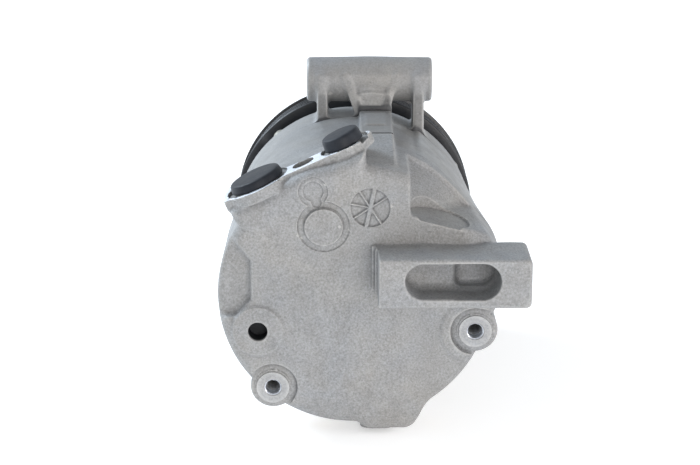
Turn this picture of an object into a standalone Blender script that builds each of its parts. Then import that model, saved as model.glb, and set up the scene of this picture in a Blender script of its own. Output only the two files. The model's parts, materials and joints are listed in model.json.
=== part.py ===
"""Automotive air-conditioning compressor: three cast housings bolted in line, a wobble-plate
mechanism with seven pistons inside them, and an electromagnetic clutch with its belt pulley.

The shaft lies along +Y, from the rear head (y = 0) to the clutch. +Z is up and the slotted
mounting lug points to +X. Every dimension below is in millimetres and MM turns it into metres.
"""

import math

import bmesh
import bpy
from mathutils import Matrix, Vector

MM = 0.001
OBJECT_NAME = "ac_compressor"

# Sides of a turned solid: the housings, then smaller pieces
DRUM_STEPS = 40
ROUND_STEPS = 24
SMALL_STEPS = 18

# Housings
HEAD_RADIUS = 59.5
MIDDLE_RADIUS = 59.1
FRONT_RADIUS = 58.8
REAR_PARTING_Y = 48.0
FRONT_PARTING_Y = 92.0
PARTING_GAP = 0.25
FIT_GAP = 0.3
CAVITY_RADIUS = 48.0
CRANKCASE_RADIUS = 44.5
HEAD_SEAT_Y = 24.0
HEAD_WALL = 9.0
FACE_ROUNDING = 5.0
SHOULDER_Y = 117.0
FRONT_WALL_Y = 122.0
NOSE_ROOT_Y = 129.5
NOSE_END_Y = 155.5
NOSE_RADIUS = 17.2
NOSE_BORE = 13.0

# Port block, drawn in the port frame: t runs along the sloping face and n stands square to it
PORT_SLOPE = math.radians(24.4)
PORT_FACE_N = 61.5
PORT_DEPTH = 28.0
FLANGE_N = 56.5
SUCTION_T, SUCTION_Y, SUCTION_BORE, SUCTION_FLOOR, SUCTION_CAP = -18.0, 13.5, 8.0, 33.0, 12.0
DISCHARGE_T, DISCHARGE_Y, DISCHARGE_BORE, DISCHARGE_FLOOR, DISCHARGE_CAP = 23.0, 14.6, 5.5, 8.0, 8.8
SUCTION_LOBE, DISCHARGE_LOBE = 15.2, 10.4
STUD_HOLE_T, STUD_HOLE_Y, STUD_HOLE_RADIUS = 3.7, 12.5, 5.0
SUCTION_CAP_HEIGHT, DISCHARGE_CAP_HEIGHT = 3.9, 5.5
CAP_SEAT_DEPTH = 0.5
CAP_SEAT_MARGIN = 0.6
PORTS = (
    ("suction", SUCTION_T, SUCTION_Y, SUCTION_BORE, SUCTION_FLOOR, SUCTION_CAP, SUCTION_CAP_HEIGHT),
    ("discharge", DISCHARGE_T, DISCHARGE_Y, DISCHARGE_BORE, DISCHARGE_FLOOR, DISCHARGE_CAP,
     DISCHARGE_CAP_HEIGHT),
)

# Lug, bosses and other features of the rear head, as (x, z)
LUG_LEFT, LUG_RIGHT, LUG_BOTTOM, LUG_TOP = 10.3, 74.3, 4.0, 25.5
LUG_REAR_Y, LUG_FRONT_Y = -24.0, 2.0
SLOT_LEFT, SLOT_RIGHT, SLOT_BOTTOM, SLOT_TOP = 21.2, 61.1, 8.0, 23.4
SLOT_FLOOR_Y, SLOT_DEEP_Y = -8.8, -4.2
REAR_BOSSES = ((-35.8, -41.5), (52.8, -15.1))
REAR_BOSS_RADIUS = 9.9
REAR_BOSS_HOLE = 3.3
PLAIN_HOLE = (-42.0, -15.1)
PLAIN_HOLE_RADIUS = 4.25
RIDGE_LEFT, RIDGE_RIGHT, RIDGE_TOP = 2.7, 17.8, 62.0
VALLEY_LEFT = 24.0
SPOTFACE = (36.9, 10.1)
SPOTFACE_RADIUS = 13.6
SHELF_SLOPE = math.radians(14.0)
SHELF_HEIGHT = 42.3

# Top mounting tube, across the front housing
TUBE_LEFT, TUBE_RIGHT = -22.5, 37.5
TUBE_Y, TUBE_Z = 105.0, 74.6
TUBE_RADIUS = 10.85
TUBE_BORE = 5.3

# Through bolts
BOLT_COUNT = 7
BOLT_PITCH = 54.3
BOLT_RADIUS = 3.0
BOLT_HOLE_RADIUS = 3.45
BOLT_START_ANGLE = math.radians(79.5)
BOLT_TIP_Y = 40.3

# Wobble-plate mechanism, drawn at zero tilt
CYLINDER_COUNT = 7
CYLINDER_PITCH = 34.0
CYLINDER_BORE = 13.0
CYLINDER_START_ANGLE = BOLT_START_ANGLE + math.pi / CYLINDER_COUNT
BLOCK_START_Y, BLOCK_END_Y = 28.8, 77.5
PISTON_RADIUS = 12.8
PISTON_CROWN_Y = 29.4
PISTON_LENGTH = 30.0
PIVOT_Y = 87.0
SHAFT_RADIUS = 8.0
SHAFT_BORE = SHAFT_RADIUS + FIT_GAP
GUIDE_PITCH = 38.5
GUIDE_ANGLE = BOLT_START_ANGLE + 4 * 2 * math.pi / BOLT_COUNT

# Clutch
PULLEY_RADIUS = 60.4
PULLEY_REAR_Y, PULLEY_FRONT_Y = 134.0, 154.0
RIB_COUNT = 5
RIB_PITCH = 3.3
RIB_DEPTH = 2.8

# Control valve, across the bottom of the rear head
VALVE_Y, VALVE_Z = 15.5, -50.5
VALVE_RADIUS = 7.5


def clear_scene():
    for old in list(bpy.data.objects):
        bpy.data.objects.remove(old, do_unlink=True)


def make_collection(name, hidden=False):
    collection = bpy.data.collections.new(name)
    bpy.context.scene.collection.children.link(collection)
    collection.hide_render = hidden
    return collection


def make_material(name, colour, roughness, metallic):
    material = bpy.data.materials.new(name)
    material.use_nodes = True
    shader = material.node_tree.nodes["Principled BSDF"]
    shader.inputs["Base Color"].default_value = (*colour, 1.0)
    shader.inputs["Roughness"].default_value = roughness
    shader.inputs["Metallic"].default_value = metallic
    return material


def add_object(name, mesh, matrix, collection):
    item = bpy.data.objects.new(name, mesh)
    collection.objects.link(item)
    item.matrix_world = matrix
    return item


def mesh_from(bm, name):
    mesh = bpy.data.meshes.new(name)
    bm.to_mesh(mesh)
    bm.free()
    return mesh


def along(axis, centre=(0.0, 0.0, 0.0)):
    """A placement whose local Z runs along axis, with its origin at centre."""
    turn = Vector((0.0, 0.0, 1.0)).rotation_difference(Vector(axis)).to_matrix().to_4x4()
    return Matrix.Translation(Vector(centre) * MM) @ turn


def polar(pitch, angle, y=0.0):
    return Vector((pitch * math.cos(angle), y, pitch * math.sin(angle)))


def spread(count, start):
    return [start + 2 * math.pi * index / count for index in range(count)]


def port_point(t, y, n):
    """A point of the port frame, as (x, y, z)."""
    x = t * math.cos(PORT_SLOPE) - n * math.sin(PORT_SLOPE)
    z = t * math.sin(PORT_SLOPE) + n * math.cos(PORT_SLOPE)
    return Vector((x, y, z))


def arc(centre, radius, start, end, count):
    """Points of an arc in degrees, both ends included."""
    angles = [math.radians(start + (end - start) * step / count) for step in range(count + 1)]
    return [(centre[0] + radius * math.cos(a), centre[1] + radius * math.sin(a)) for a in angles]


def lathe(name, profile, steps, collection, placement=None):
    """A turned solid. profile lists (radius, height) round the section. A section that
    touches the axis starts and ends on it."""
    on_axis = profile[0][0] == 0.0 and profile[-1][0] == 0.0
    following = profile[1:] + profile[:1]
    doubled_area = sum(a[0] * b[1] - b[0] * a[1] for a, b in zip(profile, following))
    points = profile[::-1] if doubled_area > 0 else profile
    edges = [(index, index + 1) for index in range(len(points) - 1)]
    if not on_axis:
        edges.append((len(points) - 1, 0))
    mesh = bpy.data.meshes.new(name)
    mesh.from_pydata([(radius * MM, 0.0, height * MM) for radius, height in points], edges, [])
    if placement is None:
        placement = Matrix.Rotation(-math.pi / 2, 4, "X")
    item = add_object(name, mesh, placement, collection)
    screw = item.modifiers.new("Turn", "SCREW")
    screw.axis = "Z"
    screw.steps = steps
    screw.render_steps = steps
    screw.use_merge_vertices = True
    screw.merge_threshold = 0.00001
    screw.use_smooth_shade = True
    return item


def ring(name, inner, outer, start, end, steps, collection):
    return lathe(name, [(inner, start), (outer, start), (outer, end), (inner, end)], steps, collection)


def cylinder(name, radius, start, end, segments, collection):
    start, end = Vector(start), Vector(end)
    bm = bmesh.new()
    bmesh.ops.create_cone(
        bm,
        cap_ends=True,
        segments=segments,
        radius1=radius * MM,
        radius2=radius * MM,
        depth=(end - start).length * MM,
    )
    return add_object(name, mesh_from(bm, name), along(end - start, (start + end) / 2), collection)


def block(name, low, high, collection):
    low, high = Vector(low), Vector(high)
    bm = bmesh.new()
    bmesh.ops.create_cube(bm, size=1.0)
    bmesh.ops.scale(bm, vec=(high - low) * MM, verts=bm.verts)
    place = Matrix.Translation((low + high) / 2 * MM)
    return add_object(name, mesh_from(bm, name), place, collection)


def hull(name, points, collection):
    """The convex solid round the points: a loft between unlike sections."""
    bm = bmesh.new()
    for point in points:
        bm.verts.new(Vector(point) * MM)
    result = bmesh.ops.convex_hull(bm, input=bm.verts)
    loose = set(result["geom_interior"] + result["geom_unused"])
    bmesh.ops.delete(bm, geom=[v for v in loose if isinstance(v, bmesh.types.BMVert)], context="VERTS")
    bmesh.ops.recalc_face_normals(bm, faces=bm.faces)
    return add_object(name, mesh_from(bm, name), Matrix.Identity(4), collection)


def plate(name, outline, start_y, end_y, collection):
    """A flat outline of (x, z) points, extruded along Y."""
    curve = bpy.data.curves.new(name, "CURVE")
    curve.dimensions = "2D"
    curve.fill_mode = "BOTH"
    curve.extrude = (end_y - start_y) / 2 * MM
    spline = curve.splines.new("POLY")
    spline.points.add(len(outline) - 1)
    for point, (x, z) in zip(spline.points, outline):
        point.co = (x * MM, z * MM, 0.0, 1.0)
    spline.use_cyclic_u = True
    drawing = bpy.data.objects.new(name + "_curve", curve)
    collection.objects.link(drawing)
    bpy.context.view_layer.update()
    mesh = bpy.data.meshes.new_from_object(drawing.evaluated_get(bpy.context.evaluated_depsgraph_get()))
    bpy.data.objects.remove(drawing, do_unlink=True)
    bm = bmesh.new()
    bm.from_mesh(mesh)
    bmesh.ops.remove_doubles(bm, verts=bm.verts, dist=0.000001)
    bmesh.ops.recalc_face_normals(bm, faces=bm.faces)
    bm.to_mesh(mesh)
    bm.free()
    middle = (start_y + end_y) / 2 * MM
    place = Matrix.Translation((0.0, middle, 0.0)) @ Matrix.Rotation(math.pi / 2, 4, "X")
    return add_object(name, mesh, place, collection)


def combine(target, tool, operation):
    tool.hide_render = True
    tool.display_type = "WIRE"
    modifier = target.modifiers.new(tool.name, "BOOLEAN")
    modifier.operation = operation
    modifier.solver = "EXACT"
    modifier.object = tool


def cut(target, tool):
    combine(target, tool, "DIFFERENCE")


def join(target, tool):
    combine(target, tool, "UNION")


def finish(item, material):
    item.data.materials.append(material)
    if item.data.polygons:
        item.data.shade_smooth()
        item.data.set_sharp_from_angle(angle=math.radians(35))


def drill(target, name, radius, start, end, segments=10):
    cut(target, cylinder(name, radius, start, end, segments, tools))


def drill_bolt_holes(target, start_y, end_y):
    for index, angle in enumerate(spread(BOLT_COUNT, BOLT_START_ANGLE)):
        name = f"{target.name}_bolt_hole_{index + 1}"
        start, end = polar(BOLT_PITCH, angle, start_y), polar(BOLT_PITCH, angle, end_y)
        drill(target, name, BOLT_HOLE_RADIUS, start, end, 8)


def flank_section(y):
    """The section of the side flank at y, which tapers from the lug into the front housing."""
    share = y / 105.0
    reach = 61.0 + 7.0 * math.sin(math.pi * min(share * 1.2, 1.0)) - 3.5 * share
    shoulder = (61.0 - 7.5 * share, 25.5 + 0.5 * share)
    return [(52.0, -8.0), (reach, -8.0), (reach, 12.0), shoulder, (46.5, 35.0 + 2.0 * share)]


def join_flank(target, start_y, end_y):
    points = [(x, y, z) for y in (start_y, end_y) for x, z in flank_section(y)]
    join(target, hull(f"{target.name}_flank", points, tools))


def make_rear_head():
    end = REAR_PARTING_Y - PARTING_GAP
    corner = (HEAD_RADIUS - FACE_ROUNDING, FACE_ROUNDING)
    profile = [(0.0, end), (HEAD_RADIUS - 0.2, end), *arc(corner, FACE_ROUNDING, 0, -90, 3), (0.0, 0.0)]
    head = lathe("rear_head", profile, DRUM_STEPS, parts)
    join_port_block(head)
    join_lug(head)
    join_flank(head, 1.0, end)
    join_bosses(head)
    join_ridge(head, 6.0, 57.5, end, RIDGE_TOP)
    cut_valley(head)
    cut_rear_face(head)
    cut_chambers(head, end + 3.0)
    cut_ports(head)
    drill_bolt_holes(head, BOLT_TIP_Y - FIT_GAP, end + 1.0)
    bore_end = (32.5, VALVE_Y, VALVE_Z)
    drill(head, "control_valve_bore", VALVE_RADIUS + FIT_GAP, (-20.0, VALVE_Y, VALVE_Z), bore_end, 20)
    finish(head, cast_aluminium)


def join_port_block(head):
    """The port flange, a bar with a round lobe under each port, and the neck that carries it."""
    outline = [(-26.0, 30.0), (-31.0, 46.0), (-32.5, 57.0)]
    outline += [(32.5, 57.0), (30.0, 53.0), (27.0, 44.0), (20.0, 30.0)]
    flat = [port_point(t, 0.0, n) for t, n in outline]
    join(head, plate("port_neck", [(p.x, p.z) for p in flat], 3.0, PORT_DEPTH - 1.0, tools))
    rim = [(-33.8, 24.0), (-33.8, 4.5), (-31.0, 4.5)]
    rim += arc((SUCTION_T, SUCTION_Y), SUCTION_LOBE, -144, -34, 10)
    rim += arc((DISCHARGE_T, DISCHARGE_Y), DISCHARGE_LOBE, -105, -20, 7)
    rim += [(34.8, 13.2), (35.6, 15.4), (34.8, 18.6), (32.0, 21.0), (28.0, PORT_DEPTH), (-31.0, PORT_DEPTH)]
    flange = plate("port_flange", rim, FLANGE_N, PORT_FACE_N, tools)
    middle = (FLANGE_N + PORT_FACE_N) / 2 * MM
    flange.matrix_world = Matrix.Rotation(-PORT_SLOPE, 4, "Y") @ Matrix.Translation((0.0, 0.0, middle))
    join(head, flange)


def join_lug(head):
    outline = arc((LUG_RIGHT - 2.5, LUG_TOP - 2.5), 2.5, 90, 0, 3)
    outline += arc((LUG_RIGHT - 1.5, LUG_BOTTOM + 1.5), 1.5, 0, -90, 2)
    outline += arc((LUG_LEFT + 2.0, LUG_BOTTOM + 2.0), 2.0, -90, -180, 2)
    outline += arc((LUG_LEFT + 2.0, LUG_TOP - 2.0), 2.0, 180, 90, 2)
    join(head, plate("lug", outline, LUG_REAR_Y, LUG_FRONT_Y, tools))


def join_bosses(head):
    for index, (x, z) in enumerate(REAR_BOSSES):
        boss = cylinder(f"rear_boss_{index + 1}", REAR_BOSS_RADIUS, (x, -0.6, z), (x, 30.0, z), 20, tools)
        join(head, boss)
    x, z = PLAIN_HOLE
    join(head, cylinder("plain_hole_boss", 11.5, (x, -0.8, z), (x, 8.0, z), 20, tools))
    bump = [(x, y, z) for y in (2.0, 40.0) for x, z in ((-2.0, -50.0), (4.0, -62.4), (11.0, -62.4))]
    bump += [(x, y, z) for y in (2.0, 40.0) for x, z in ((27.5, -58.0), (31.0, -48.0))]
    join(head, hull("bottom_bump", bump, tools))


def join_ridge(target, start_y, start_top, end_y, end_top):
    points = []
    for y, top in ((start_y, start_top), (end_y, end_top)):
        points += [(RIDGE_LEFT - 2.0, y, 50.0), (RIDGE_LEFT, y, top), (RIDGE_RIGHT, y, top - 0.6)]
        points += [(RIDGE_RIGHT + 3.0, y, 50.0)]
    join(target, hull(f"{target.name}_ridge", points, tools))


def cut_valley(head):
    """The scoop right of the raised face: outside a cone, above a sloping shelf, short of the rim."""
    cone = lathe("valley", [(39.8, -1.5), (57.6, 38.0), (76.0, 38.0), (76.0, -1.5)], DRUM_STEPS, tools)
    side = Vector((math.sin(SHELF_SLOPE), 0.0, math.cos(SHELF_SLOPE)))
    run = Vector((math.cos(SHELF_SLOPE), 0.0, -math.sin(SHELF_SLOPE)))
    ridge_run = (VALLEY_LEFT - SHELF_HEIGHT * side.x) / run.x
    low_left = side * SHELF_HEIGHT + run * ridge_run
    low_right = side * SHELF_HEIGHT + run * 70.0
    above = [low_left, low_right, low_right + side * 60.0, Vector((VALLEY_LEFT, 0.0, 90.0))]
    keep = plate("valley_reach", [(p.x, p.z) for p in above], -3.0, 60.0, tools)
    combine(cone, keep, "INTERSECT")
    cut(head, cone)
    x, y = SPOTFACE
    floor = side * (SHELF_HEIGHT - 0.8) + run * ((x - SHELF_HEIGHT * side.x) / run.x)
    low = Vector((floor.x, y, floor.z))
    cut(head, cylinder("spotface", SPOTFACE_RADIUS, low, low + side * 30.0, 24, tools))


def cut_rear_face(head):
    middle_z = (SLOT_BOTTOM + SLOT_TOP) / 2
    radius = (SLOT_TOP - SLOT_BOTTOM) / 2
    slot = arc((SLOT_LEFT + radius, middle_z), radius, 90, 270, 8)
    slot += arc((SLOT_RIGHT - radius, middle_z), radius, -90, 90, 8)
    cut(head, plate("lug_slot", slot, LUG_REAR_Y - 2.0, SLOT_FLOOR_Y, tools))
    deep = [(43.5, SLOT_TOP - 0.8), (43.5, SLOT_BOTTOM + 0.8)]
    deep += arc((SLOT_RIGHT - radius, middle_z), radius - 0.8, -80, 80, 4)
    cut(head, plate("lug_slot_deep_end", deep, SLOT_FLOOR_Y - 3.0, SLOT_DEEP_Y, tools))
    shelf = [(-70.0, 30.0), (-52.4, 26.6), (-44.8, 16.7), (-45.2, -0.7), (-51.5, -8.0), (-70.0, -10.0)]
    cut(head, plate("low_shelf", shelf, -2.0, 4.0, tools))
    for index, (x, z) in enumerate(REAR_BOSSES):
        drill(head, f"rear_boss_hole_{index + 1}", REAR_BOSS_HOLE, (x, -2.0, z), (x, 22.0, z), 16)
    x, z = PLAIN_HOLE
    drill(head, "plain_hole", PLAIN_HOLE_RADIUS, (x, -2.0, z), (x, 7.0, z), 16)


def cut_chambers(head, end):
    """The discharge chamber in the middle, the suction chamber round it, and the seat in front."""
    profile = [(0.0, HEAD_WALL), (26.0, HEAD_WALL), (26.0, HEAD_SEAT_Y), (29.0, HEAD_SEAT_Y)]
    profile += [(29.0, HEAD_WALL), (40.5, HEAD_WALL), (40.5, HEAD_SEAT_Y), (CAVITY_RADIUS, HEAD_SEAT_Y)]
    profile += [(CAVITY_RADIUS, end), (0.0, end)]
    cut(head, lathe("head_chambers", profile, DRUM_STEPS, tools))
    low = port_point(DISCHARGE_T, DISCHARGE_Y + 1.0, 10.0)
    high = port_point(DISCHARGE_T, DISCHARGE_Y + 1.0, 50.0)
    join(head, cylinder("discharge_passage_wall", 8.5, low, high, 16, tools))


def cut_ports(head):
    for kind, t, y, radius, floor, cap_radius, _ in PORTS:
        above = port_point(t, y, PORT_FACE_N + 3.0)
        drill(head, f"{kind}_port", radius, port_point(t, y, floor), above, 20)
        seat = port_point(t, y, PORT_FACE_N - CAP_SEAT_DEPTH)
        drill(head, f"{kind}_cap_seat", cap_radius + CAP_SEAT_MARGIN, seat, above, 24)
    start = port_point(STUD_HOLE_T, STUD_HOLE_Y, 44.0)
    end = port_point(STUD_HOLE_T, STUD_HOLE_Y, PORT_FACE_N + 3.0)
    drill(head, "stud_hole", STUD_HOLE_RADIUS, start, end, 16)


def make_middle_housing():
    start, end = REAR_PARTING_Y + PARTING_GAP, FRONT_PARTING_Y - PARTING_GAP
    profile = [(CAVITY_RADIUS, end), (48.6, end), (48.6, end - 1.65), (50.2, end - 1.65), (50.2, end)]
    profile += [(MIDDLE_RADIUS - 0.2, end), (MIDDLE_RADIUS, start), (50.2, start)]
    profile += [(50.2, start + 1.65), (48.6, start + 1.65), (48.6, start), (CAVITY_RADIUS, start)]
    middle = lathe("middle_housing", profile, DRUM_STEPS, parts)
    join_flank(middle, start, end)
    join_ridge(middle, start, RIDGE_TOP, end, RIDGE_TOP)
    drill_bolt_holes(middle, start - 1.0, end + 1.0)
    finish(middle, cast_aluminium)


def make_front_housing():
    start = FRONT_PARTING_Y + PARTING_GAP
    profile = [(CRANKCASE_RADIUS, start), (CRANKCASE_RADIUS, 116.0), (37.0, FRONT_WALL_Y)]
    profile += [(NOSE_BORE, FRONT_WALL_Y), (NOSE_BORE, NOSE_END_Y), (NOSE_RADIUS, NOSE_END_Y)]
    profile += [(NOSE_RADIUS, 154.5), (16.2, 154.5), (16.2, 152.9), (NOSE_RADIUS, 152.9)]
    profile += [(NOSE_RADIUS, NOSE_ROOT_Y), (44.0, NOSE_ROOT_Y), (48.8, 124.0), (48.8, SHOULDER_Y)]
    profile += arc((FRONT_RADIUS - 3.0, SHOULDER_Y - 3.0), 3.0, 90, 0, 2)
    profile += [(FRONT_RADIUS, start)]
    front = lathe("front_housing", profile, DRUM_STEPS, parts)
    join_flank(front, start, 104.0)
    join_top_boss(front, start)
    drill_bolt_holes(front, start - 1.0, SHOULDER_Y + 6.0)
    tube_start, tube_end = (TUBE_LEFT - 2.0, TUBE_Y, TUBE_Z), (TUBE_RIGHT + 2.0, TUBE_Y, TUBE_Z)
    drill(front, "tube_bore", TUBE_BORE, tube_start, tube_end, 16)
    finish(front, cast_aluminium)


def join_top_boss(front, start):
    tube_start, tube_end = (TUBE_LEFT, TUBE_Y, TUBE_Z), (TUBE_RIGHT, TUBE_Y, TUBE_Z)
    join(front, cylinder("mounting_tube", TUBE_RADIUS, tube_start, tube_end, 24, tools))
    join(front, block("left_leg", (-17.6, 94.4, 48.0), (-12.6, 113.0, 76.0), tools))
    join(front, block("right_leg", (28.4, 94.4, 42.0), (33.4, 113.0, 76.0), tools))
    edges = ((RIDGE_LEFT, start), (RIDGE_RIGHT, start), (RIDGE_LEFT, 111.0), (RIDGE_RIGHT, 111.0))
    join(front, hull("ridge_pad", [(x, y, z) for z in (48.0, 63.0) for x, y in edges], tools))
    join(front, block("ridge_wall", (3.4, start + 0.9, 60.0), (17.2, 111.0, 70.2), tools))
    webs = (
        ("left_arm", 94.6, ((-5.2, 76.0), (-1.2, 76.0), (4.4, 58.0), (0.4, 58.0))),
        ("right_arm", 94.6, ((17.2, 76.0), (21.2, 76.0), (17.2, 60.0), (13.2, 60.0))),
        ("middle_web", 95.4, ((-1.2, 76.0), (17.2, 76.0), (13.4, 70.0), (3.6, 70.0))),
    )
    for name, rear, corners in webs:
        points = [(x, y, z) for y in (rear, 110.0) for x, z in corners]
        join(front, hull(name, points, tools))


def make_valve_stack():
    outer = CAVITY_RADIUS - FIT_GAP
    discharge, suction = ("discharge", 22.6, 2.2), ("suction", 35.0, 4.0)
    layers = (
        ("retainer_gasket", 24.3, 25.1, (suction,)),
        ("discharge_reed_disc", 25.4, 25.8, (suction,)),
        ("valve_plate", 26.1, 27.9, (discharge, suction)),
        ("suction_reed_disc", 28.15, 28.5, (discharge,)),
    )
    for name, start, end, ports in layers:
        disc = cylinder(name, outer, (0.0, start, 0.0), (0.0, end, 0.0), ROUND_STEPS, parts)
        for index, angle in enumerate(spread(CYLINDER_COUNT, CYLINDER_START_ANGLE)):
            for kind, pitch, radius in ports:
                port = f"{name}_{kind}_port_{index + 1}"
                drill(disc, port, radius, polar(pitch, angle, start - 1.0), polar(pitch, angle, end + 1.0), 6)
        finish(disc, gasket_steel if name != "valve_plate" else ground_steel)


def make_cylinder_block():
    outer = CAVITY_RADIUS - FIT_GAP
    item = cylinder("cylinder_block", outer, (0, BLOCK_START_Y, 0), (0, BLOCK_END_Y, 0), DRUM_STEPS, parts)
    for index, angle in enumerate(spread(CYLINDER_COUNT, CYLINDER_START_ANGLE)):
        start = polar(CYLINDER_PITCH, angle, BLOCK_START_Y - 1.0)
        end = polar(CYLINDER_PITCH, angle, BLOCK_END_Y + 1.0)
        drill(item, f"cylinder_{index + 1}", CYLINDER_BORE, start, end, 20)
    drill(item, "block_shaft_bore", 11.3, (0, 57.0, 0), (0, BLOCK_END_Y + 1.0, 0), SMALL_STEPS)
    finish(item, machined_aluminium)


def make_seal_rings():
    for name, y in (("rear_seal_ring", 48.9), ("front_seal_ring", 91.1)):
        finish(lathe(name, arc((49.4, y), 0.6, 0, 270, 3), DRUM_STEPS, parts), black_rubber)


def make_bolts():
    head_y = SHOULDER_Y + FIT_GAP
    profile = [(0.0, head_y + 5.0), (4.0, head_y + 5.0), (4.4, head_y + 4.6), (4.4, head_y)]
    profile += [(BOLT_RADIUS, head_y), (BOLT_RADIUS, BOLT_TIP_Y), (0.0, BOLT_TIP_Y)]
    for index, angle in enumerate(spread(BOLT_COUNT, BOLT_START_ANGLE)):
        place = Matrix.Translation(polar(BOLT_PITCH, angle) * MM) @ Matrix.Rotation(-math.pi / 2, 4, "X")
        finish(lathe(f"through_bolt_{index + 1}", profile, 8, parts, place), zinc_steel)


def make_pistons():
    open_end = PISTON_CROWN_Y + PISTON_LENGTH
    profile = [(0.0, 35.8), (5.0, 36.0), (5.0, 44.0), (10.5, 46.0), (10.5, open_end)]
    profile += [(PISTON_RADIUS, open_end), (PISTON_RADIUS, PISTON_CROWN_Y), (0.0, PISTON_CROWN_Y)]
    ball = (0.0, PIVOT_Y - 0.5)
    heel = (0.0, 40.8)
    rod = [(0.0, PIVOT_Y + 2.7), *arc(ball, 3.2, 55, -38, 2), *arc(heel, 4.45, 55, -55, 2), (0.0, 36.35)]
    for index, angle in enumerate(spread(CYLINDER_COUNT, CYLINDER_START_ANGLE)):
        place = Matrix.Translation(polar(CYLINDER_PITCH, angle) * MM) @ Matrix.Rotation(-math.pi / 2, 4, "X")
        finish(lathe(f"piston_{index + 1}", profile, 14, parts, place), machined_aluminium)
        finish(lathe(f"piston_rod_{index + 1}", rod, 8, parts, place), ground_steel)


def make_wobble_plate():
    plate_rear, plate_front = PIVOT_Y - 4.5, PIVOT_Y + 4.5
    item = ring("wobble_plate", 17.0, 41.0, plate_rear, plate_front, 40, parts)
    for index, angle in enumerate(spread(CYLINDER_COUNT, CYLINDER_START_ANGLE)):
        start = polar(CYLINDER_PITCH, angle, plate_rear - 1.0)
        drill(item, f"rod_socket_{index + 1}", 5.0, start, polar(CYLINDER_PITCH, angle, plate_front - 1.2))
    start = polar(GUIDE_PITCH, GUIDE_ANGLE, plate_rear - 1.0)
    drill(item, "guide_notch", 3.6, start, polar(GUIDE_PITCH, GUIDE_ANGLE, plate_front + 1.0))
    finish(item, machined_aluminium)
    finish(ring("wobble_bearing", 19.0, 33.0, PIVOT_Y + 4.8, PIVOT_Y + 6.2, SMALL_STEPS, parts), ground_steel)


def make_drive_plate():
    profile = [(13.0, PIVOT_Y - 4.0), (16.6, PIVOT_Y - 4.0), (16.6, PIVOT_Y + 6.5), (34.0, PIVOT_Y + 6.5)]
    profile += [(34.0, PIVOT_Y + 11.5), (13.0, PIVOT_Y + 11.5)]
    finish(lathe("drive_plate", profile, ROUND_STEPS, parts), ground_steel)


def make_sleeve():
    item = ring("slide_sleeve", SHAFT_BORE - 1.0, 9.8, PIVOT_Y - 6.0, PIVOT_Y + 6.0, SMALL_STEPS, parts)
    join(item, cylinder("sleeve_trunnions", 3.0, (-12.2, PIVOT_Y, 0), (12.2, PIVOT_Y, 0), 10, tools))
    drill(item, "sleeve_bore", SHAFT_BORE, (0, PIVOT_Y - 8.0, 0), (0, PIVOT_Y + 8.0, 0), SMALL_STEPS)
    finish(item, ground_steel)


def make_rotor_plate():
    item = ring("rotor_plate", SHAFT_BORE, 30.0, 112.0, 119.4, ROUND_STEPS, parts)
    join(item, block("rotor_arm", (-7.0, 114.8, 24.0), (7.0, 119.0, 35.0), tools))
    finish(item, ground_steel)


def make_shaft():
    profile = [(0.0, 171.0), (3.5, 171.0), (3.9, 170.4), (3.9, 164.0), (6.0, 164.0), (6.0, 150.0)]
    profile += [(SHAFT_RADIUS, 149.0), (SHAFT_RADIUS, 61.0), (5.0, 61.0), (5.0, 57.6), (0.0, 57.6)]
    finish(lathe("drive_shaft", profile, SMALL_STEPS, parts), ground_steel)


def make_bearings():
    bearings = (
        ("rear_thrust_bearing", 5.3, 11.0, 57.3, 60.7),
        ("rear_radial_bearing", SHAFT_BORE, 11.0, 62.0, 76.0),
        ("front_thrust_bearing", SHAFT_BORE + 3.0, 24.0, 119.7, 121.7),
        ("front_radial_bearing", SHAFT_BORE, 12.7, 123.0, 137.0),
    )
    for name, inner, outer, start, end in bearings:
        finish(ring(name, inner, outer, start, end, SMALL_STEPS, parts), ground_steel)


def make_shaft_seal():
    seal = [(SHAFT_BORE, 139.0), (12.7, 139.0), (12.7, 148.0), (11.0, 148.0)]
    seal += [(9.6, 143.0), (SHAFT_BORE, 143.0)]
    finish(lathe("shaft_seal", seal, SMALL_STEPS, parts), black_rubber)


def make_guide_pin():
    start = polar(GUIDE_PITCH, GUIDE_ANGLE, BLOCK_END_Y + FIT_GAP)
    finish(cylinder("guide_pin", 2.5, start, polar(GUIDE_PITCH, GUIDE_ANGLE, 118.0), 12, parts), ground_steel)


def make_pulley():
    rib_start = PULLEY_REAR_Y + 1.8
    profile = [(26.0, 133.0), (29.3, 133.0), (29.3, 149.0), (51.0, 149.0), (51.0, PULLEY_REAR_Y)]
    profile += [(PULLEY_RADIUS - 0.8, PULLEY_REAR_Y), (PULLEY_RADIUS, PULLEY_REAR_Y + 0.8)]
    crest, root = PULLEY_RADIUS - 1.2, PULLEY_RADIUS - 1.2 - RIB_DEPTH
    profile += [(PULLEY_RADIUS, rib_start - 0.4), (root, rib_start)]
    for index in range(RIB_COUNT):
        profile.append((crest, rib_start + RIB_PITCH * (index + 0.5)))
        profile.append((root, rib_start + RIB_PITCH * (index + 1)))
    profile.append((PULLEY_RADIUS, rib_start + RIB_PITCH * RIB_COUNT + 0.4))
    profile.append((PULLEY_RADIUS, PULLEY_FRONT_Y - 0.6))
    profile += [(PULLEY_RADIUS - 0.6, PULLEY_FRONT_Y), (26.0, PULLEY_FRONT_Y)]
    finish(lathe("belt_pulley", profile, DRUM_STEPS, parts), black_paint)
    finish(ring("bearing_inner_race", 17.5, 20.3, 132.5, 152.5, ROUND_STEPS, parts), ground_steel)
    finish(ring("bearing_outer_race", 22.8, 25.7, 133.2, 152.5, ROUND_STEPS, parts), ground_steel)
    finish(ring("pulley_snap_ring", 16.5, 19.6, 153.1, 154.3, SMALL_STEPS, parts), gasket_steel)


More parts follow.
